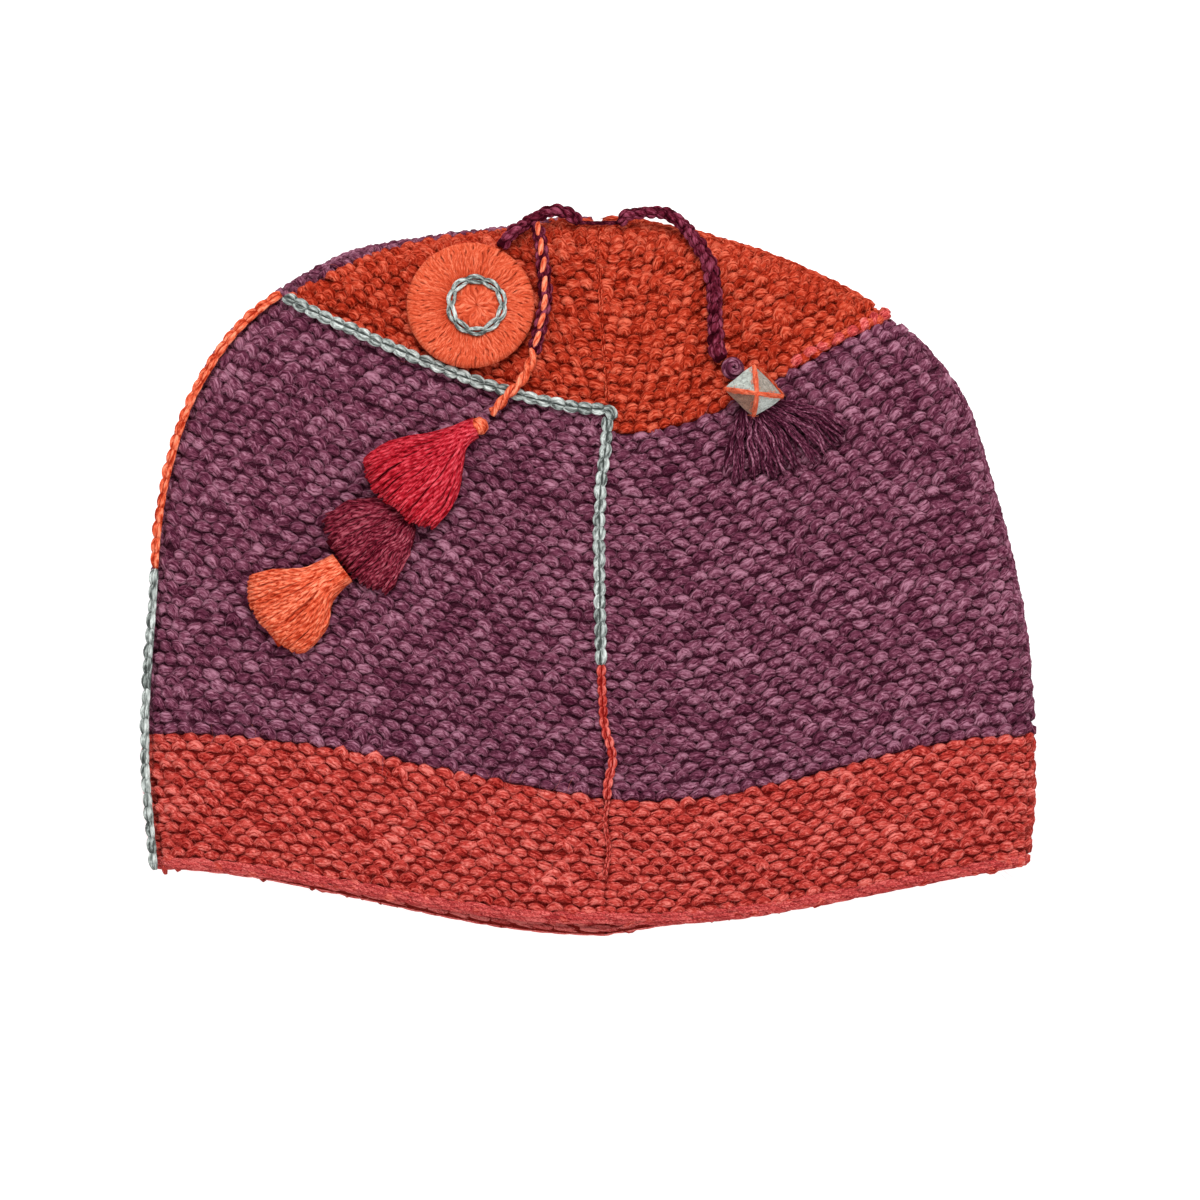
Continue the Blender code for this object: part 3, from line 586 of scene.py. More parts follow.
def discRim():
    foot, way = discFrame()
    toward = Vector((0.46, 0.89, 0.0))
    toward.z = -(way.x * toward.x + way.y * toward.y) / way.z
    toward.normalize()
    return foot + toward * (disc["radius"] + hat["clear"] * 2) + way * (disc["height"] / 2)


def cordLine(name, start=None, end=None):
    cord = cords[name]
    size = cord["size"]
    points = []
    for x, y, lift in cord["route"]:
        hit = skinHit(x, y)
        reach = hat["clear"] + size / 2
        base = hat["foldHeight"] + reach if hit[0] is None else hit[0].z + reach / max(abs(hit[1].z), 0.6)
        points.append((x, y, base + lift))
    points = ([start] if start is not None else []) + points + ([end] if end is not None else [])
    return smoothLine(points, 0.2 * size)


def lineFrame(line):
    # Way, beside and up along a line, with up as near to the sky as the line lets it
    way = unit(np.gradient(line, axis=0))
    beside = unit(np.cross(way, (0.0, 0.0, 1.0)))
    return way, beside, np.cross(beside, way)


def readAt(line, share):
    # Any rows of numbers along a line, read at shares of its length
    run = np.concatenate([[0], np.cumsum(np.linalg.norm(np.diff(line[:, :3], axis=0), axis=1))])
    run = run / run[-1]
    return np.stack([np.interp(share, run, line[:, i]) for i in range(line.shape[1])], axis=-1)


def crochet(line, size, fromShare=0.0, toShare=1.0, shade=0.0, swell=(1.0, 1.0)):
    # A crocheted cord: a core, and columns of slanting stitches round it, each column's stitches crossing
    # from one side to the other as they go along. Swell scales the size from one end to the other.
    way, beside, up = lineFrame(line)
    table = np.concatenate([line, beside, up], axis=1)
    length = lengthOf(line) * (toShare - fromShare)
    count = max(2, round(length / cords["crochetPitch"]))
    columns = cords["columns"]
    t = np.linspace(-0.1, 1.1, 8)
    parts = []
    row, place = np.meshgrid(np.arange(count), np.arange(columns), indexing="ij")
    row, place = row.ravel(), place.ravel()
    half = (place % 2) * 0.5 + chance.normal(0, 0.06, len(row))
    share = fromShare + (toShare - fromShare) * np.clip((row[:, None] + half[:, None] + t) / (count + 0.5), 0, 1)
    middle = readAt(table, share)
    lean = (t - 0.5) * 0.5 * np.where(place % 2, 1, -1)[:, None]
    turn = 2 * math.pi * place[:, None] / columns + math.pi / 2 + lean + chance.normal(0, 0.08, (len(row), 1))
    out = middle[..., 3:6] * np.cos(turn)[..., None] + middle[..., 6:9] * np.sin(turn)[..., None]
    hump = np.sin(math.pi * np.clip(t, 0, 1)) ** 0.7
    fat = chance.normal(1.0, 0.08, (len(row), 1)) * (swell[0] + (swell[1] - swell[0]) * share)
    centres = middle[..., :3] + out * (size * (0.22 + 0.12 * hump) * fat)[..., None]
    wide = size * 0.50 * (0.5 + 0.5 * hump) * fat
    tall = size * 0.38 * (0.55 + 0.45 * hump) * fat
    # Stitch ends are darker: painted shade where they tuck under their neighbours.
    shades = shade + chance.normal(0, 0.07, (len(row), 1)) - 0.10 * (1 - hump)
    parts.append(sweep(centres, out, wide, tall, 7, shades))
    # The core is darker by 0.35: painted shade between the stitches.
    share = np.linspace(fromShare, 1.0, 4 * count)
    core = readAt(table, share)
    thick = size * np.where(share > toShare, 0.25, 0.62 * (swell[0] + (swell[1] - swell[0]) * share))
    parts.append(sweep(core[None, :, :3], core[None, :, 6:9], thick, thick, 10, shade - 0.35))
    return parts


def twisted(line, size, strands, turnLength, fromShare, toShare, shades):
    # Strands laid round each other: each is a helix on the line, a share of a turn from the next
    way, beside, up = lineFrame(line)
    table = np.concatenate([line, beside, up], axis=1)
    length = lengthOf(line) * (toShare - fromShare)
    share = np.linspace(0, 1, max(12, int(length / 0.0006)))
    middle = readAt(table, fromShare + (toShare - fromShare) * share)
    turn = 2 * math.pi * (share[None] * length / turnLength + np.arange(strands)[:, None] / strands)
    out = middle[None, :, 3:6] * np.cos(turn)[..., None] + middle[None, :, 6:9] * np.sin(turn)[..., None]
    centres = middle[None, :, :3] + out * size * 0.22
    return sweep(centres, out, size * 0.52, size * 0.5, 8, np.array(shades))


def runningStitch(line, size, pitch, fromShare, toShare):
    # Dashes of yarn that come up and go down along the top of a cord
    way, beside, up = lineFrame(line)
    table = np.concatenate([line, beside, up], axis=1)
    length = lengthOf(line) * (toShare - fromShare)
    count = round(length / pitch)
    t = np.linspace(0, 1, 9)
    share = fromShare + (toShare - fromShare) * (np.arange(count)[:, None] + 0.02 + 0.96 * t) / count
    middle = readAt(table, share)
    hump = np.sin(math.pi * t) ** 0.5
    wander = chance.normal(0, 0.00012, (count, 1)) + (t - 0.5) * chance.normal(0.0009, 0.0003, (count, 1))
    centres = middle[..., :3] + middle[..., 6:9] * (size * (0.34 + 0.17 * hump))[:, None]
    centres = centres + middle[..., 3:6] * wander[..., None]
    wide = 0.0018 * (0.35 + 0.65 * hump)
    return sweep(centres, middle[..., 6:9], wide, 0.8 * wide, 8, chance.normal(0.05, 0.05, count))


def makeCords():
    sewn = rootPlace()
    half = cordRoot["length"] / 2
    left = (sewn[0] - half, cordRoot["up"], sewn[2])
    right = (sewn[0] + half, cordRoot["up"], sewn[2])
    lines = {
        "disc": cordLine("disc", left, tuple(discRim())),
        "tassel": cordLine("tassel"),
        "bead": cordLine("bead", right),
    }
    made = {}
    dark = woolOf("darkPurple", "cord")
    parts = crochet(lines["disc"], cords["disc"]["size"], swell=(0.95, 1.0))
    made["disc"] = putMesh("discCord", parts, dark, ["disc_cord"])
    tassel = cords["tassel"]
    change = tassel["twistFrom"]
    parts = crochet(lines["tassel"], tassel["size"], 0.0, change + 0.02)
    dashes = runningStitch(lines["tassel"], tassel["size"], 0.0057, 0.0, change)
    rope = twisted(lines["tassel"], tassel["size"] * 0.86, 2, 0.0105, change, 1.0, (0.05, -0.03))
    orange = ([dashes, rope], woolOf("brightOrange", "chain"))
    made["tassel"] = putMesh("tasselCord", parts, dark, ["tassel_cord"], [orange])
    parts = crochet(lines["bead"], cords["bead"]["size"], swell=(0.78, 1.18))
    made["bead"] = putMesh("beadCord", parts, dark, ["bead_cord"])
    rootLine = np.linspace(left, right, 12) - (0.0, 0.0, 0.0010)
    made["root"] = putMesh("cordRoot", crochet(rootLine, cordRoot["thin"], shade=-0.1), dark, ["cord_root"])
    return lines, made


cordLines, cordPieces = makeCords()
print("cords laid", {name: round(float(lengthOf(line)), 4) for name, line in cordLines.items()})


# Knitting. Sub-rows are half a ridge, and lengths are in metres
knit = {
    "pitch": {"band": 0.0055, "panel": 0.0053, "crown": 0.0041, "edge": 0.0050},  # one stitch along a course
    "offset": {"band": 0.5, "panel": 0.5, "crown": 0.22, "edge": 0.5},  # of a sub-row over the last, in stitches
    "ridges": {"band": 7.5, "panel": 20, "edge": 0.5},
    "crownRow": 0.0031,  # from one sub-row of the crown to the next
    "proud": 0.0003,  # stitch tops over the solid's skin
    "sink": 0.0019,  # how far a stitch's ends dive
    "tall": 0.0027,
    "fat": 1.28,  # width of a stitch over the sub-row spacing
    "arch": 0.55,  # bow of a stitch over the sub-row spacing
    "slant": 0.10,
    "scallop": 0.0010,  # how far every other sub-row stands out by the fold
    "shortest": 0.45,  # share of a stitch under which its neighbour takes it in
    "shellDepth": 0.0017,
}


def stitchRows(base, far, low, high, block):
    # Where the sub-rows of a block run. Climb is the distance from its lower edge, square to the courses.
    # A block with a number of ridges shares the climb out. In the crown the sub-rows keep their spacing
    # and run out at the upper edge.
    share = np.linspace(0, 1, 161)
    grid = np.linspace(low, high, 50)
    skin, facing = surface(base + (far(grid) - base)[:, None] * share, grid[:, None])
    across = unit(np.cross(facing, unit(np.gradient(skin, axis=1))))
    step = (np.diff(skin, axis=0) * (across[1:] + across[:-1]) / 2).sum(-1)
    climb = np.concatenate([np.zeros((1, 161)), np.cumsum(np.abs(step), axis=0)])
    if block in knit["ridges"]:
        subRows = round(2 * knit["ridges"][block])
        spacing = climb[-1] / subRows
    else:
        spacing = np.full(161, knit["crownRow"])
        subRows = int((climb[-1] / spacing).max())
    goal = (np.arange(subRows) + 0.5)[:, None] * spacing
    along = np.stack([np.interp(goal[:, i], climb[:, i], grid) for i in range(161)], axis=1)
    return base + (far(along) - base) * share, along, goal <= climb[-1], spacing, np.sign(step.sum())


def goreStitches(base, far, low, high, block, rings, sides, proud=0.0, inside=False):
    # Stitches of one block. Each sub-row is walked from the middle seam to the far seam by its length.
    # A stitch bows across the course by a sine of its own height, and its ends dive by a like sine. By
    # the fold every other sub-row stands out. Those of the inside lie on the wall's other face.
    angles, alongs, valid, spacing, upward = stitchRows(base, far, low, high, block)
    pitch = knit["pitch"][block]
    walk = surface(angles, alongs)[0]
    step = np.linalg.norm(np.diff(walk, axis=1), axis=-1) * (valid[:, 1:] & valid[:, :-1])
    run = np.concatenate([np.zeros((len(angles), 1)), np.cumsum(step, axis=1)], axis=1)
    start, stop, rowOf = [], [], []
    for row in range(len(angles)):
        length = run[row, -1]
        if length < knit["shortest"] * pitch:
            continue
        first = pitch * (knit["offset"][block] * row % 1.0)
        cuts = np.arange(first, length, pitch)
        cuts = cuts + chance.normal(0, 0.00035, len(cuts))
        cuts = cuts[(cuts > knit["shortest"] * pitch) & (cuts < length - knit["shortest"] * pitch)]
        cuts = np.concatenate([[0.0], cuts, [length]])
        start.append(cuts[:-1])
        stop.append(cuts[1:])
        rowOf.append(np.full(len(cuts) - 1, row))
    start, stop, rowOf = (np.concatenate(a) for a in (start, stop, rowOf))
    count = len(start)
    t = np.linspace(0, 1, rings)
    place = start[:, None] + (stop - start)[:, None] * t
    angle, along, gap = np.empty_like(place), np.empty_like(place), np.empty_like(place)
    for row in range(len(angles)):
        mine = rowOf == row
        for into, what in ((angle, angles[row]), (along, alongs[row]), (gap, spacing)):
            into[mine] = np.interp(place[mine], run[row], what)
    skin, facing = surface(angle, along)
    way = unit(np.gradient(skin, axis=1))
    across = unit(np.cross(facing, way)) * upward
    if inside:
        skin, facing = skin - facing * (hat["fabric"] + 0.0006), -facing
    hump = np.sin(math.pi * t) ** 0.7
    slant = knit["slant"] + chance.normal(0, 0.30, (count, 1))
    flip = np.where(rowOf % 2, -1.0, 1.0)[:, None]
    bow = knit["arch"] * chance.normal(0.6, 0.6, (count, 1))
    side = (bow * (np.sin(math.pi * t) - 0.5) + slant * (t - 0.5)) * gap
    side = side + chance.normal(0, 0.00018, (count, 1))
    size = chance.normal(1.0, 0.08, (count, 1))
    tall = knit["tall"] * size * (0.5 + 0.5 * hump)
    depth = proud + knit["proud"] - knit["tall"] * size / 2 - knit["sink"] * (1 - hump)
    depth = depth + chance.normal(0, 0.00018, (count, 1))
    depth = depth + (0.25 + 0.75 * flip) * knit["scallop"] * np.abs(np.sin(angle)) ** 30
    centres = skin + across * side[..., None] + facing * depth[..., None]
    wide = gap * knit["fat"] * size * (0.5 + 0.5 * hump)
    # Inside stitches are lighter by 0.10: painted light where the front layer shades them. Stitch ends are darker:
    # painted shade where they dive.
    shades = chance.normal(0.10 if inside else 0.0, 0.035, (count, 1)) - 0.05 * (1 - hump)
    return sweep(centres, facing, wide, tall, sides, shades)


def goreShell(base, far, low, high, rows, across):
    # The cloth under the stitches: a wall a little inside the solid's own, darker by 0.16 as painted shade in the
    # gaps between stitches
    along = np.linspace(low + 0.0006, high - 0.0006, rows)
    angle = base + (far(along) - base)[:, None] * np.linspace(-0.002, 1.002, across)
    skin, facing = surface(angle, np.broadcast_to(along[:, None], angle.shape))
    return wall(skin - facing * knit["shellDepth"], skin - facing * hat["fabric"], (2.0, 2.0), -0.16)


def fuzz(base, far, low, high, count, reach=(0.0018, 0.0060), shade=0.3):
    # Loose fibres: short arcs that leave the wool, bow over it and come near it again
    along = chance.uniform(low, high, count)
    angle = base + (far(along) - base) * chance.uniform(0.01, 0.99, count)
    skin, facing = surface(angle, along)
    heading = chance.uniform(0, 2 * math.pi, count)
    east = unit(np.cross(facing, (0.31, 0.95, 0.0)))
    north = np.cross(facing, east)
    t = np.linspace(0, 1, 6)
    length = chance.uniform(*reach, count)
    turn = heading[:, None] + chance.normal(0, 1.1, (count, 1)) * t
    step = east[:, None] * np.cos(turn)[..., None] + north[:, None] * np.sin(turn)[..., None]
    path = np.cumsum(step * (length / 5)[:, None, None], axis=1)
    lift = chance.uniform(0.0003, 0.0010, (count, 1)) * np.sin(math.pi * t) ** 0.8 * (length / 0.004)[:, None]
    centres = skin[:, None] + path + facing[:, None] * np.minimum(lift, 0.0016)[..., None]
    thin = chance.uniform(0.00007, 0.00013, (count, 1)) * (1 - 0.6 * t)
    return sweep(centres, np.broadcast_to(facing[:, None], centres.shape), thin, thin, 3, shade)


rim = {"rails": 7, "pitch": 0.0068, "wide": 0.0021, "tall": 0.0013, "round": 0.0018, "raise": 0.0001}


def makeRim():
    # The cast-on edge: strands laid along the wall's end in rails, from its outside round to its inside
    angle = np.linspace(-math.pi, math.pi, 721)
    walk, facing = surface(angle, 0.0)
    down = unit(walk - surface(angle, 0.01)[0])
    run = np.concatenate([[0], np.cumsum(np.linalg.norm(np.diff(walk, axis=0), axis=1))])
    count = round(run[-1] / rim["pitch"])
    t = np.linspace(0, 1, 7)
    table = np.concatenate([walk, facing, down], axis=1)
    made = []
    for rail in range(rim["rails"]):
        at = (np.arange(count) + 0.37 * rail + chance.normal(0, 0.06, count)) / count * run[-1]
        place = (at[:, None] + (t - 0.5) * rim["pitch"] * 1.25) % run[-1]
        read = np.stack([np.interp(place, run, table[:, i]) for i in range(9)], axis=-1)
        lean = math.radians(-30 + 240 * rail / (rim["rails"] - 1))
        turn = lean + 0.35 * (t - 0.5) + chance.normal(0, 0.08, (count, 1))
        reach = rim["round"] * (1 - 0.30 * (2 * t - 1) ** 4)
        out = read[..., 3:6] * np.cos(turn)[..., None] + read[..., 6:9] * np.sin(turn)[..., None]
        middle = read[..., :3] - read[..., 3:6] * hat["fabric"] / 2 - read[..., 6:9] * (rim["raise"] + rim["round"])
        size = chance.normal(1.0, 0.08, (count, 1)) * (0.45 + 0.55 * np.sin(math.pi * t) ** 0.5)
        # Rails on the back layer are lighter by 0.10: painted light where the front layer shades them.
        shades = chance.normal(-0.02, 0.03, (count, 1)) + 0.10 * (read[..., 5] < 0)
        made.append(sweep(middle + out * reach[:, None], out, rim["wide"] * size, rim["tall"] * size, 5, shades))
    return putMesh("rimEdge", made, woolOf("pinkRed", "knit"), ())


def frontSeam(along):
    return 0 * along


gores = {
    "front_left": {"base": 0.0, "far": leftSeam, "crown": "leftCrownShare", "crownWool": "crownOrange"},
    "front_right": {"base": 0.0, "far": rightSeam, "crown": "rightCrownShare", "crownWool": "crownOrange"},
    "back_left": {"base": -math.pi, "far": leftSeam, "crown": "leftCrownShare", "crownWool": "purple"},
    "back_right": {"base": math.pi, "far": rightSeam, "crown": "rightCrownShare", "crownWool": "crownOrange"},
}


def makeGores():
    for gore, plan in gores.items():
        front = gore.startswith("front")
        rings, sides = (7, 5) if front else (5, 5)
        crownFrom = hat[plan["crown"]]
        blocks = {
            "band": (0.0, hat["bandShare"], "red", 12),
            "panel": (hat["bandShare"], crownFrom, "purple", 40),
            "crown": (crownFrom, 0.996, plan["crownWool"], 24),
        }
        base, far = plan["base"], plan["far"]
        for block, (low, high, colour, rows) in blocks.items():
            name = f"{gore}_{block}"
            parts = [
                goreStitches(base, far, low, high, block, rings, sides),
                goreShell(base, far, low, min(high, hat["topShare"]), rows, 60),
            ]
            if front:
                parts.append(fuzz(base, far, low, high, int(850 * (high - low))))
                parts.append(fuzz(base, far, low, high, int(20 * (high - low)), (0.008, 0.016), 0.45))
            elif block == "band":
                for row in range(4):
                    edge = 0.012 + 0.0125 * row
                    parts.append(goreStitches(base, far, edge, edge + 0.0125, "edge", 5, 5, inside=True))
            made = putMesh(name + "_knit", parts, woolOf(colour, "knit"), [name])
            print(made.name, triangles(made))
    edge = hat["rightCrownShare"]
    row = goreStitches(0.72, rightSeam, edge + 0.001, edge + 0.013, "edge", 8, 6, 0.0005)
    putMesh("crownEdgeRow", [row], woolOf("pinkRed", "knit"), ())


makeGores()
makeRim()
print("gores knitted")


# Crocheted chains over the seams
chains = {
    "height": 0.0020,
    "pitch": 0.0043,
    "blueWidth": 0.0043,
    "redWidth": 0.0033,
    "plainWidth": 0.0018,
}


def chainStitches(line, facing, width, pitch, closed=False, shade=0.0):
    # A chain seen from above: each link is two stitches side by side that start together, bulge apart
    # and close under the next link
    run = np.concatenate([[0], np.cumsum(np.linalg.norm(np.diff(line, axis=0), axis=1))])
    count = max(2, round(run[-1] / pitch))
    way = unit(np.gradient(line, axis=0))
    table = np.concatenate([line, facing, way], axis=1)
    t = np.linspace(0, 1, 9)
    link = np.repeat(np.arange(count), 2)
    sign = np.tile([-1.0, 1.0], count)[:, None]
    at = (link[:, None] - 0.2 + 1.38 * t + chance.normal(0, 0.05, (2 * count, 1))) / count
    at = at % 1.0 if closed else np.clip(at, 0, 1)
    read = np.stack([np.interp(at, run / run[-1], table[:, i]) for i in range(table.shape[1])], axis=-1)
    up = unit(read[..., 3:6])
    beside = unit(np.cross(unit(read[..., 6:9]), up))
    bulge = np.sin(math.pi * t**1.2) ** 0.8
    size = chance.normal(1.0, 0.09, (len(link), 1))
    sway = np.repeat(chance.normal(0, 0.05, count), 2)[:, None]
    lateral = width * (sign * (0.04 + 0.23 * bulge) + sway * (t - 0.5) + 0.3 * sway)
    height = width * (0.18 * np.sin(math.pi * t) ** 0.8 + 0.10 * t - 0.10) * size
    centres = read[..., :3] + beside * lateral[..., None] + up * height[..., None]
    wide = width * 0.44 * (0.5 + 0.5 * bulge) * size
    # Link ends are darker: painted shade where they close under the next link.
    shades = shade + chance.normal(0, 0.06, (len(link), 1)) - 0.16 * (1 - bulge)
    return sweep(centres, up, wide, wide * 0.95, 6, shades)


def seamChain(name, angle, along, width, colour, replaced=(), lift=0.35):
    line, facing = surface(angle, along)
    line = line + facing * (hat["clear"] + lift * chains["height"])
    parts = [chainStitches(line, facing, width, chains["pitch"] * width / chains["blueWidth"])]
    # A core darker by 0.3 under the links: painted shade between them.
    core = 0.5 * width * np.ones(len(line))
    parts.append(sweep(line[None], facing[None], core[None], 0.6 * core[None], 8, -0.3))
    return putMesh(name + "Wool", parts, woolOf(colour, "chain"), replaced)


def makeChains():
    stop = hat["clear"] / hat["flatHeight"]
    room = (0.0040 / 2 + 2 * hat["clear"]) / hat["flatHeight"]
    crown = hat["leftCrownShare"]
    blue = chains["blueWidth"]
    high = np.linspace(hat["leftColourShare"] + stop, crown, 90)
    seamChain("left_chain_orange", leftSeam(high), high, 1.1 * blue, "brightOrange", ["left_chain_orange"], 0.6)
    low = np.linspace(0.0, hat["leftColourShare"] - stop, 90)
    seamChain("left_chain_blue", leftSeam(low), low, 1.1 * blue, "chainBlue", ["left_chain_blue"], 0.6)
    angle = np.linspace(float(leftSeam(crown)) + 0.05, 0.022, 120)
    along = crown - 0.010 * np.clip(angle / 0.022, 0, 1) ** 2
    seamChain("crown_chain_blue", angle, along, blue, "chainBlue", ["crown_chain_blue"], 0.5)
    high = np.linspace(hat["centreColourShare"] + stop, crown - room, 90)
    seamChain("centre_chain_blue", 0 * high, high, blue, "chainBlue", ["centre_chain_blue"])
    low = np.linspace(hat["bandShare"], hat["centreColourShare"] - stop, 60)
    bend = 0.018 * np.exp(-(((low - 0.25) / 0.03) ** 2))
    seamChain("centre_chain_red", bend, low, chains["redWidth"], "red", ["centre_chain_red"])
    low = np.linspace(0.075, hat["bandShare"], 60)
    seamChain("band_chain_red", 0.004 * np.sin(low * 70), low, chains["plainWidth"], "red", (), 0.0)
    high = np.linspace(crown + 0.012, 0.985, 70)
    seamChain("crown_seam_red", 0.004 * np.sin(high * 50), high, chains["plainWidth"], "crownOrange", (), -0.5)


makeChains()
print("chains laid")


def makeDisc():
    # Wool wound over a flat ring: each strand runs out over the top, round the rim and back below
    foot, way = discFrame()
    up = np.array(way)
    east = unit(np.cross((0.0, 1.0, 0.0), up))
    north = np.cross(up, east)
    radius, height = disc["radius"], disc["height"]
    size = 2 * math.pi * radius / disc["strands"] * 1.9
    around = np.linspace(math.pi / 2, -math.pi / 2, 7)
    rimAcross = radius - size / 2 - 0.4 * height * (1 - np.cos(around))
    rimUp = height * (0.5 + 0.42 * np.sin(around))
    across = np.concatenate([radius * np.linspace(0.30, 0.84, 14), rimAcross, radius * np.array([0.7, 0.4])])
    level = np.concatenate([height * np.linspace(0.82, 0.95, 14), rimUp, height * np.array([0.09, 0.09])])
    count = disc["strands"]
    turn = 2 * math.pi * (np.arange(count) + chance.normal(0, 0.3, count)) / count
    reach = across / radius
    phase = chance.uniform(0, 1, (3, count, 1))
    near = np.cos(turn[:, None] * 3 + 1.0) + np.cos(turn[:, None] * 7)  # neighbours sway together
    bend = 0.030 * np.sin(2 * math.pi * (1.5 * reach + 0.15 * near + 0.3 * phase[0]))
    bend = bend + 0.020 * np.sin(2 * math.pi * (3.9 * reach + phase[1]))
    bend = (bend + chance.normal(0, 0.05, (count, 1)) * (reach - 0.7)) * np.clip((1.02 - reach) * 6, 0, 1)
    lift = chance.normal(0, 0.00010, (count, 1)) + 0.00010 * np.sin(2 * math.pi * (2.3 * reach + phase[2]))
    out = east * np.cos(turn[:, None] + bend)[..., None] + north * np.sin(turn[:, None] + bend)[..., None]
    centres = np.array(foot) + out * across[:, None] + up * (level + lift)[..., None]
    plan = np.gradient(across)
    rise = np.gradient(level)
    facing = unit(out * -rise[:, None] + up * plan[:, None])
    wide = size * (0.40 + 0.60 * reach)
    # Strands are darker towards the middle, where the ring and petals sit over them: painted shade.
    shades = chance.normal(0.0, 0.05, (count, 1)) - 0.16 * np.clip((0.60 - reach) / 0.2, 0, 1)
    parts = [sweep(centres, facing, wide, size * 0.55, 5, shades)]
    petals = disc["petals"]
    t = np.linspace(0, 1, 9)
    turn = 2 * math.pi * (np.arange(petals) + chance.normal(0, 0.2, petals)) / petals
    reach = radius * (0.02 + 0.37 * t)
    middle = np.array(foot) + np.append(np.array(disc["ringPlace"]) - disc["place"], 0.0)
    bend = 0.16 * np.sin(2 * math.pi * (1.3 * t + chance.uniform(0, 1, (petals, 1))))
    out = east * np.cos(turn[:, None] + bend)[..., None] + north * np.sin(turn[:, None] + bend)[..., None]
    hump = np.sin(math.pi * (0.15 + 0.85 * t)) ** 0.6
    lift = height * (0.80 + 0.13 * hump) + chance.normal(0, 0.00010, (petals, 1))
    centres = middle + out * reach[:, None] + up * lift[..., None]
    wide = 0.0006 + 0.0020 * t * (0.5 + 0.5 * hump)
    # Petal ends are darker: painted shade where they dip.
    shades = chance.normal(0.0, 0.06, (petals, 1)) - 0.10 * (1 - hump)
    parts.append(sweep(centres, np.broadcast_to(up, centres.shape), wide, 0.0011 * (0.4 + 0.6 * hump), 7, shades))
    core = np.array(foot) + up * np.linspace(0.12, 0.86, 6)[:, None] * height
    wideCore = radius * 2 * np.array([0.85, 0.93, 0.95, 0.95, 0.93, 0.82])
    # The core is slightly darker: painted shade seen in the gaps between strands.
    parts.append(sweep(core[None], np.broadcast_to(north, core[None].shape), wideCore, wideCore, 40, -0.05))
    made = putMesh("discWool", parts, woolOf("discOrange", "wound"), ["disc"])
    turn = np.linspace(0, 2 * math.pi, 97)
    wobble = disc["ringRadius"] * (1 + 0.02 * np.sin(3 * turn + 1.0))[:, None]
    ring = middle + (east * np.cos(turn)[:, None] + north * np.sin(turn)[:, None]) * wobble
    ring = ring + up * (height * 0.98 + 0.0004)
    facing = np.broadcast_to(up, ring.shape)
    pitch = 2 * math.pi * disc["ringRadius"] / disc["ringStitches"]
    stitches = chainStitches(ring, facing, disc["ringSize"], pitch, closed=True)
    ringMade = putMesh("discRingWool", [stitches], woolOf("chainBlue", "chain"), ["disc_ring"])
    return made, ringMade


discPieces = makeDisc()
print("disc wound")


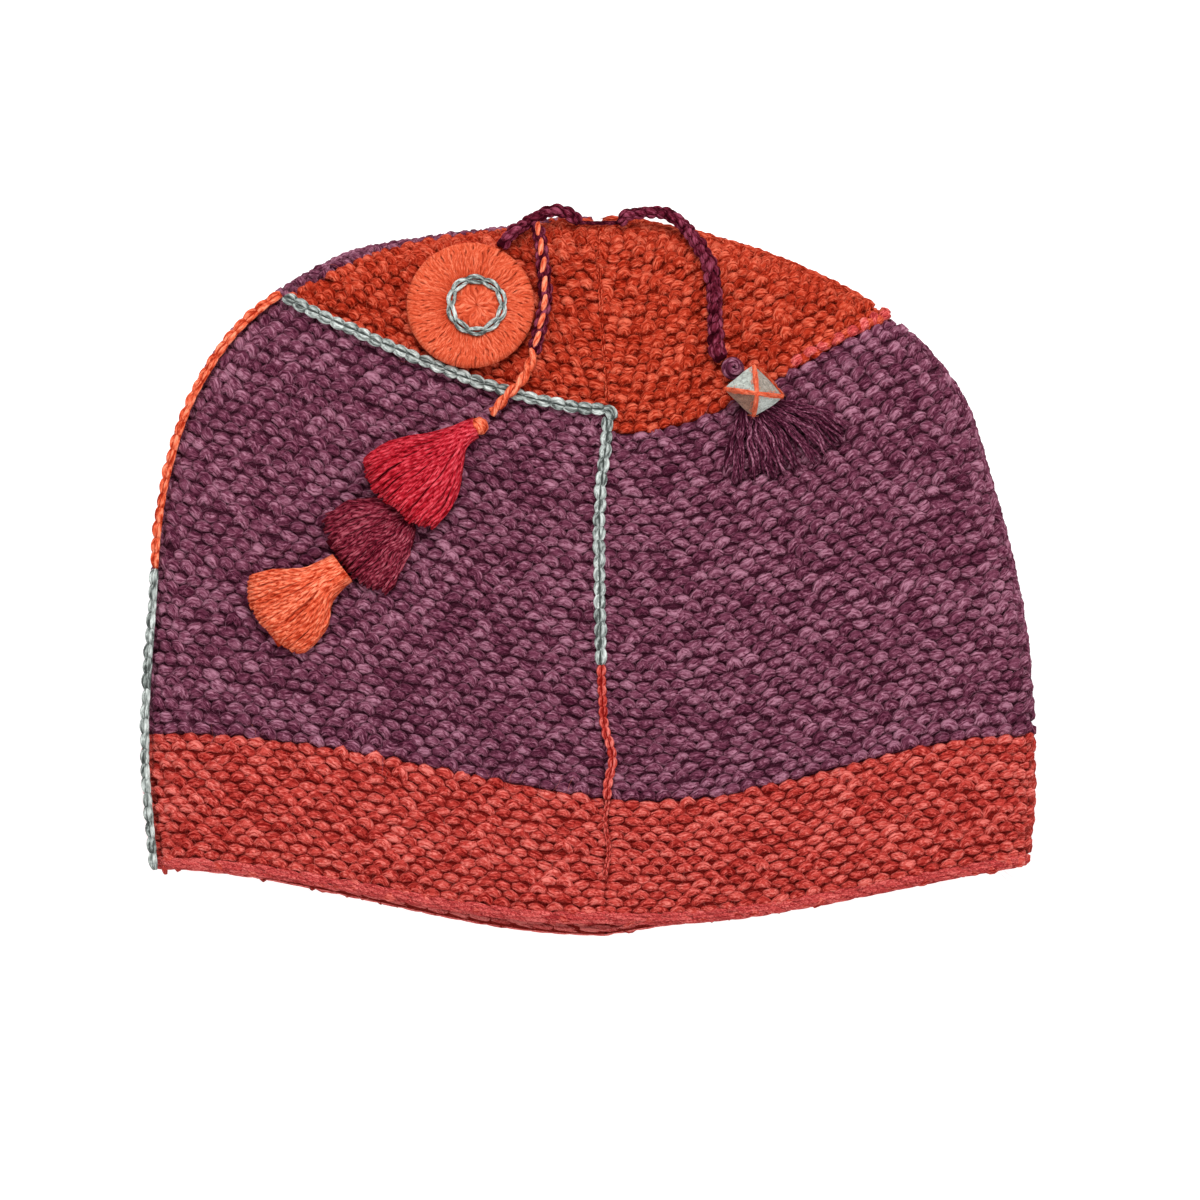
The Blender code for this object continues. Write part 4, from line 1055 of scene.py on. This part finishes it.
# Tassels. The sides run from the neck to the tips, in millimetres across and up. Heights, lift, size and wave are in
# metres
# Two keys darken strands: one the lower layers and one, root, the strands by the neck, both painted shade.
tassels = {
    "red_tassel": {
        "sideA": [(-36.3, 49.3), (-42.3, 47.1), (-48.3, 44.9), (-58.5, 43.3), (-65.4, 40.8), (-71.1, 36.7)],
        "sideB": [(-35.1, 44.2), (-38.9, 41.1), (-40.1, 36.0), (-41.1, 29.1), (-43.9, 21.5), (-49.0, 14.5)],
        "tips": [(-71.1, 36.7), (-70.8, 31.9), (-68.9, 27.5), (-64.8, 23.1), (-59.7, 19.9), (-57.2, 16.7),
                 (-53.1, 15.5), (-49.0, 14.5)],
        "heights": (0.0046, 0.0085, 0.0052), "lift": 0.0040, "strands": 210, "size": 0.00125, "wave": 0.00035,
        "even": 0.94, "core": 0.80, "wool": "scarlet", "clumps": 30, "pull": 0.0, "underShade": 0.16, "root": 0.0,
        "spin": "tassel",
    },
    "burgundy_tassel": {
        "sideA": [(-59.7, 24.0), (-67.3, 24.0), (-75.5, 23.4), (-83.1, 19.6)],
        "sideB": [(-55.0, 15.2), (-56.6, 8.8), (-59.4, 1.9), (-64.1, -6.3)],
        "tips": [(-83.1, 19.6), (-84.4, 15.8), (-81.8, 9.8), (-78.7, 3.5), (-74.9, -1.6), (-69.2, -4.4),
                 (-64.1, -6.3)],
        "heights": (0.0022, 0.0058, 0.0034), "lift": 0.0, "strands": 190, "size": 0.00115, "wave": 0.00055,
        "even": 0.86, "core": 0.74, "wool": "burgundy", "clumps": 26, "pull": 0.3, "underShade": 0.22, "root": 0.08,
        "spin": "tassel",
    },
    "orange_tassel": {
        "sideA": [(-80.6, 6.3), (-84.4, 4.4), (-89.4, 2.2), (-97.6, 1.6), (-107.1, 0.0)],
        "sideB": [(-74.9, -1.3), (-78.7, -4.4), (-81.5, -7.6), (-82.5, -14.5), (-85.6, -20.2), (-90.1, -24.6)],
        "tips": [(-107.1, 0.0), (-108.1, -6.3), (-105.9, -12.0), (-102.1, -17.1), (-97.0, -21.8), (-92.9, -24.3),
                 (-90.1, -24.6)],
        "heights": (0.0066, 0.0085, 0.0046), "lift": 0.0, "strands": 200, "size": 0.00125, "wave": 0.00030,
        "even": 0.96, "core": 0.80, "wool": "brightOrange", "clumps": 30, "pull": 0.0, "underShade": 0.16, "root": 0.0,
        "spin": "tassel",
    },
    "bead_tassel": {
        "sideA": [(55.0, 55.0), (61.3, 55.0), (69.7, 54.0), (77.7, 52.0), (83.1, 48.0)],
        "sideB": [(48.3, 53.1), (46.4, 47.0), (43.9, 40.0), (41.2, 30.2)],
        "tips": [(83.1, 48.0), (82.0, 43.0), (79.0, 39.6), (73.6, 36.2), (62.9, 31.6), (52.5, 29.4), (45.0, 28.8),
                 (41.2, 30.2)],
        "heights": (0.0052, 0.0040, 0.0016), "lift": 0.0, "strands": 150, "size": 0.00080, "wave": 0.00060,
        "even": 0.70, "core": 0.0, "wool": "tasselPurple", "clumps": 17, "pull": 0.85, "underShade": 0.24, "root": 0.26,
        "spin": "loose",
    },
    "rings": 13,
}


def curveAt(points, share):
    # A smooth curve through a few points, read at shares of its length
    line = smoothLine([(x, y, 0.0) for x, y in points], 0.5)
    return readAt(line, share)[..., :2] / 1000


def makeTassel(name):
    # A fan of strands. In plan a strand runs between the two sides by its share of the way from one to
    # the other, and its tip is drawn to the tip line. Clumps draw the strands' shares together on their
    # way. In height the strands fill a low mound.
    look = tassels[name]
    count, rings = look["strands"], tassels["rings"]
    share = (np.arange(count) + 0.5) / count + chance.normal(0, 0.012, count)
    share = np.clip(share[chance.permutation(count)], 0.004, 0.996)
    layer = np.sqrt(chance.uniform(0.02, 1.0, count))
    t = np.linspace(0, 1, rings)
    clump = (np.floor(share * look["clumps"]) + 0.5 + 0.5 * np.sin(9.1 * np.floor(share * look["clumps"]))) / look["clumps"]
    pull = look["pull"] * np.sin(math.pi * np.clip(t * 0.8, 0, 1)) ** 1.5
    shares = share[:, None] + (clump - share)[:, None] * pull * chance.uniform(0.6, 1.0, (count, 1))
    shares = np.clip(shares, 0.0, 1.0)
    sideA = curveAt(look["sideA"], t)
    sideB = curveAt(look["sideB"], t)
    tip = curveAt(look["tips"], shares[:, -1])
    plan = sideA[None] * (1 - shares)[..., None] + sideB[None] * shares[..., None]
    plan = plan + (tip - plan[:, -1])[:, None] * (t**1.6)[None, :, None]
    plan = plan[:, :1] + (plan - plan[:, :1]) * chance.uniform(look["even"], 1.0, (count, 1, 1))
    way = unit(np.gradient(plan, axis=1))
    beside = np.stack([-way[..., 1], way[..., 0]], axis=-1)
    phase = chance.uniform(0, 1, (4, count, 1))
    wave = np.sin(2 * math.pi * (t * (0.7 + 1.2 * phase[0]) + phase[1]))
    wave = wave + 0.5 * np.sin(2 * math.pi * (t * (2.2 + 1.5 * phase[2]) + phase[3]))
    plan = plan + beside * (wave * look["wave"] * np.minimum(1, 0.3 + 2 * t))[..., None]
    across = 2 * share - 1
    first, middle, last = look["heights"]
    mound = first * (1 - t) * (1 - 2 * t) + middle * 4 * t * (1 - t) + last * t * (2 * t - 1)
    tallest = mound[None] * (0.25 + 0.75 * np.sqrt(1 - np.abs(across) ** 3))[:, None]
    floor = heights(plan) + hat["clear"] + look["lift"] * t**1.5 * layer[:, None]
    size = look["size"] * chance.uniform(0.8, 1.2, (count, 1))
    z = floor + size / 2 + np.maximum(tallest - size, 0) * layer[:, None]
    z = z + chance.normal(0, 0.00015, (count, 1)) + 0.0002 * np.sin(2 * math.pi * (2 * t + phase[1]))
    centres = np.concatenate([plan, z[..., None]], axis=-1)
    ups = np.zeros_like(centres)
    ups[..., 2] = 1.0
    wide = size * (1.0 - 0.35 * (t == 1.0))
    # Lower layers and strands near the neck are darker: painted shade under the top strands and at the neck.
    shades = chance.normal(0.0, 0.06, (count, 1)) - look["underShade"] * (1 - layer[:, None])
    shades = shades - look["root"] * np.exp(-t / 0.3)
    parts = [sweep(centres, ups, wide, wide * 0.95, 5, shades)]
    if look["core"]:
        line = (sideA + sideB) / 2
        line = line + (curveAt(look["tips"], 0.5) - line[-1]) * (t**1.6)[:, None] * 0.72
        spread = np.linalg.norm(sideA - sideB, axis=-1) * look["core"] * (1 - 0.25 * t)
        tall = mound * 0.6
        core = np.concatenate([line, (heights(line) + hat["clear"] + tall / 2)[:, None]], axis=-1)
        # The core under the strands is darker by 0.3: painted shade between them.
        parts.append(sweep(core[None], ups[:1], spread, tall, 20, -0.3))
    return putMesh(name + "_strands", parts, woolOf(look["wool"], look["spin"]), [name])


tasselPieces = {name: makeTassel(name) for name in tassels if name.endswith("_tassel")}
print("tassels hung")


knots = {
    "cord_knot": {
        "place": (-0.0345, 0.0473), "size": 0.0056, "squash": 0.90, "turns": 4.5, "axis": (-0.62, -0.66, 0.42),
        "wool": "brightOrange",
    },
    "bead_knot": {
        "place": (0.0454, 0.0655), "size": 0.0070, "squash": 0.80, "turns": 3.6, "axis": (0.12, 0.15, 0.98),
        "wool": "tasselPurple",
    },
}


def makeKnot(name):
    # A cord wound on itself: one strand on a spiral from end to end of a flattened ball, round its axis
    look = knots[name]
    x, y = look["place"]
    radius = look["size"] / 2
    tall = look["size"] * look["squash"]
    middle = np.array((x, y, heightAt(x, y) + hat["clear"] + tall / 2))
    axis = unit(np.array(look["axis"]))
    east = unit(np.cross((0.0, 1.0, 0.0), axis))
    north = np.cross(axis, east)
    t = np.linspace(0.02, 0.98, 150)
    polar = math.pi * t
    turn = 2 * math.pi * look["turns"] * t
    wide = math.pi * radius / look["turns"] * 0.98
    flat = np.stack([np.sin(polar) * np.cos(turn), np.sin(polar) * np.sin(turn), np.cos(polar) * look["squash"]], axis=-1)
    out = flat @ np.stack([east, north, axis])
    centres = middle + out * (radius - wide * 0.35)
    parts = [sweep(centres[None], unit(out)[None], wide, wide * 0.9, 8, 0.0)]
    return putMesh(name + "_wool", parts, woolOf(look["wool"], "cord"), [name])


knotPieces = {name: makeKnot(name) for name in knots}

bead = {
    "place": (0.0522, 0.0585),
    "height": 0.0150,
    "corners": {
        "right": (8.9, -1.9, 0.0), "left": (-9.2, 0.5, 0.0), "up": (-0.2, 7.7, 0.0), "down": (-0.3, -8.0, 0.0),
        "front": (0.7, -1.0, 7.8), "back": (0.0, 0.0, -7.3),
    },  # millimetres from the middle
    "sharp": 1.16,  # 1 would give a sharp octahedron
    "thread": 0.0017,
    "hairs": 220,
}
# One pale felt in four copies, one for each quarter of the bead: pale as it is, a darker grey copy as painted shade,
# a lighter copy as painted light, and a darker brown copy that is partly painted shade and partly the felt's own
# warmer tint.
feltLooks = {
    "pale": ((108, 112, 106), (164, 172, 164), (204, 212, 204)),
    "shadedGrey": ((84, 76, 68), (136, 126, 114), (172, 164, 150)),
    "bright": ((124, 130, 124), (182, 190, 182), (222, 228, 222)),
    "shadedBrown": ((84, 52, 38), (134, 92, 72), (172, 128, 104)),
}


def felt(name):
    # Felted wool: one fine noise, in its colour and in its relief
    material = bpy.data.materials.new(name + "Felt")
    material.use_nodes = True
    tree = material.node_tree
    shader = tree.nodes["Principled BSDF"]
    place = node(tree, "ShaderNodeTexCoord")
    fine = node(tree, "ShaderNodeTexNoise")
    fine.inputs["Scale"].default_value = 900.0
    fine.inputs["Detail"].default_value = 6.0
    fine.inputs["Roughness"].default_value = 0.75
    fine.inputs["Distortion"].default_value = 1.2
    tree.links.new(place.outputs["Object"], fine.inputs["Vector"])
    ramp = node(tree, "ShaderNodeValToRGB")
    low, middle, high = feltLooks[name]
    ramp.color_ramp.elements[0].position = 0.34
    ramp.color_ramp.elements[0].color = tone(low)
    ramp.color_ramp.elements[1].position = 0.66
    ramp.color_ramp.elements[1].color = tone(high)
    ramp.color_ramp.elements.new(0.5).color = tone(middle)
    tree.links.new(fine.outputs["Fac"], ramp.inputs[0])
    tree.links.new(ramp.outputs[0], shader.inputs["Base Color"])
    bump = node(tree, "ShaderNodeBump")
    bump.inputs["Strength"].default_value = 0.8
    bump.inputs["Distance"].default_value = 0.0004
    tree.links.new(fine.outputs["Fac"], bump.inputs["Height"])
    tree.links.new(bump.outputs[0], shader.inputs["Normal"])
    shader.inputs["Roughness"].default_value = 0.95
    shader.inputs["Sheen Weight"].default_value = 0.3
    return material


def beadPoint(turn, polar):
    # Eight soft faces: the radius that makes the powered sum of the three shares one, each share counted
    # on the corner of its own side
    direction = np.stack([np.sin(polar) * np.cos(turn), np.sin(polar) * np.sin(turn), np.cos(polar)], axis=-1)
    power = (np.abs(direction) ** bead["sharp"]).sum(-1) ** (-1 / bead["sharp"])
    share = direction * power[..., None]
    place = 0.0
    for axis, (plus, minus) in enumerate((("right", "left"), ("up", "down"), ("front", "back"))):
        s = share[..., axis, None]
        place = place + np.maximum(s, 0) * bead["corners"][plus] + np.maximum(-s, 0) * bead["corners"][minus]
    return place / 1000


def makeBead():
    x, y = bead["place"]
    middle = np.array((x, y, heightAt(x, y) + hat["clear"] + bead["height"] / 2))
    turn, polar = np.meshgrid(np.linspace(0, 2 * math.pi, 65)[:-1], np.linspace(0, math.pi, 33)[1:-1])
    ring = beadPoint(turn, polar)
    wobble = 1 + 0.012 * np.sin(5 * turn + 3 * polar) + 0.01 * np.sin(9 * polar - 4 * turn)
    ring = ring * wobble[..., None]
    rows, around = turn.shape
    spot = np.arange(rows * around).reshape(rows, around)
    after = np.roll(spot, -1, axis=1)
    quads = np.stack([spot[:-1], spot[1:], after[1:], after[:-1]], axis=-1).reshape(-1, 4)
    top, bottom = rows * around, rows * around + 1
    cap = np.stack([np.full(around, top), spot[0], after[0]], axis=-1)
    tail = np.stack([np.full(around, bottom), after[-1], spot[-1]], axis=-1)
    poles = np.stack([beadPoint(np.array(0.0), np.array(p)) for p in (0.0, math.pi)])
    points = np.concatenate([ring.reshape(-1, 3), poles]) + middle
    tris = np.concatenate([cap, tail])
    part = {
        "points": points, "quads": quads, "tris": tris,
        "quadUv": points[quads][..., :2] * 100, "triUv": points[tris][..., :2] * 100,
        "shade": np.zeros(len(points)),
    }
    made = putMesh("feltBead", [part], felt("pale"), ["felt_bead"])
    for name in ("shadedGrey", "bright", "shadedBrown"):
        made.data.materials.append(felt(name))
    # Quarters by turn: upper right gets the darker grey copy and lower right the lighter one, painted shade and
    # painted light; lower left gets the darker brown copy, partly painted shade.
    turnOf = np.concatenate([np.tile(np.arange(around), rows - 1), np.tile(np.arange(around), 2)])
    quarter = turnOf * 4 // around
    looks = np.array([1, 0, 3, 2])[quarter]
    made.data.polygons.foreach_set("material_index", looks.astype(np.int32))
    t = np.linspace(0, 1, 24)
    edges = []
    for quarter in range(4):
        side = quarter * math.pi / 2
        for lean in (0.0, math.pi / 2):
            edges.append((0 * t + side, 0.02 + lean + (math.pi / 2 - 0.04) * t))
    edges.append((t * math.pi / 2, 0 * t + math.pi / 2))
    lines = np.stack([beadPoint(a, b) for a, b in edges])
    outward = unit(lines)
    centres = middle + lines + outward * bead["thread"] * 0.12
    wide = bead["thread"] * (0.75 + 0.25 * np.sin(math.pi * t)) * np.append(np.ones(8), 0.7)[:, None]
    shades = chance.normal(0.02, 0.04, len(edges)) - np.append(np.zeros(8), 0.12)
    threads = sweep(centres, outward, wide, wide * 0.55, 7, shades)
    count = bead["hairs"]
    line = chance.integers(0, len(edges), count)
    at = chance.integers(2, 21, count)
    way = unit(centres[line, at + 1] - centres[line, at])
    out = outward[line, at]
    beside = np.cross(out, way)
    t = np.linspace(-1, 1, 6)
    reach = chance.uniform(0.0006, 0.0018, (count, 1)) * t
    turn = chance.normal(0, 0.7, (count, 1)) + chance.normal(0, 0.6, (count, 1)) * t
    hair = centres[line, at][:, None] + way[:, None] * (reach * np.cos(turn))[..., None]
    hair = hair + beside[:, None] * (reach * np.sin(turn) + chance.normal(0, 0.0005, (count, 1)))[..., None]
    hair = hair + out[:, None] * (0.0004 + chance.uniform(0, 0.0004, (count, 1)) * (1 - t**2))[..., None]
    thin = chance.uniform(0.00010, 0.00018, (count, 1)) * np.ones(6)
    hairs = sweep(hair, np.repeat(out[:, None], 6, axis=1), thin, thin, 3, 0.1)
    threadMade = putMesh("beadThreads", [threads, hairs], woolOf("brightOrange", "wound"), ())
    return made, threadMade


beadPieces = makeBead()
print("bead stitched")


def makeStage():
    data = bpy.data.meshes.new("floor")
    side = 6.0
    data.from_pydata([(-side, -side, 0), (side, -side, 0), (side, side, 0), (-side, side, 0)], [], [(0, 1, 2, 3)])
    material = bpy.data.materials.new("floorPaper")
    material.use_nodes = True
    shader = material.node_tree.nodes["Principled BSDF"]
    shader.inputs["Base Color"].default_value = (0.6, 0.6, 0.6, 1.0)
    shader.inputs["Roughness"].default_value = 0.9
    shader.inputs["Emission Color"].default_value = (1.0, 1.0, 1.0, 1.0)
    shader.inputs["Emission Strength"].default_value = 0.7
    data.materials.append(material)
    floor = bpy.data.objects.new("floor", data)
    floor.location.z = -0.00005
    bpy.context.scene.collection.objects.link(floor)


lights = {
    "over": {"place": (0.05, 0.95, 1.35), "side": 0.8, "power": 22.0},
    "near": {"place": (0.0, -1.3, 0.9), "side": 1.0, "power": 5.0},
    "right": {"place": (1.2, -0.1, 1.1), "side": 0.9, "power": 5.0},
    "left": {"place": (-1.2, -0.3, 1.1), "side": 0.9, "power": 4.0},
}


def makeLights():
    world = bpy.data.worlds.new("studio")
    world.use_nodes = True
    sky = world.node_tree.nodes["Background"]
    sky.inputs["Color"].default_value = (1.0, 1.0, 1.0, 1.0)
    sky.inputs["Strength"].default_value = 0.48
    bpy.context.scene.world = world
    for name, look in lights.items():
        data = bpy.data.lights.new(name, "AREA")
        data.shape = "DISK"
        data.size = look["side"]
        data.energy = look["power"]
        lamp = bpy.data.objects.new(name, data)
        lamp.location = look["place"]
        lamp.rotation_mode = "QUATERNION"
        lamp.rotation_quaternion = (-Vector(look["place"])).to_track_quat("-Z", "Y")
        lamp.visible_camera = False
        bpy.context.scene.collection.objects.link(lamp)
    bpy.context.scene.view_settings.view_transform = "Standard"
    bpy.context.scene.view_settings.look = "None"


makeStage()
makeLights()
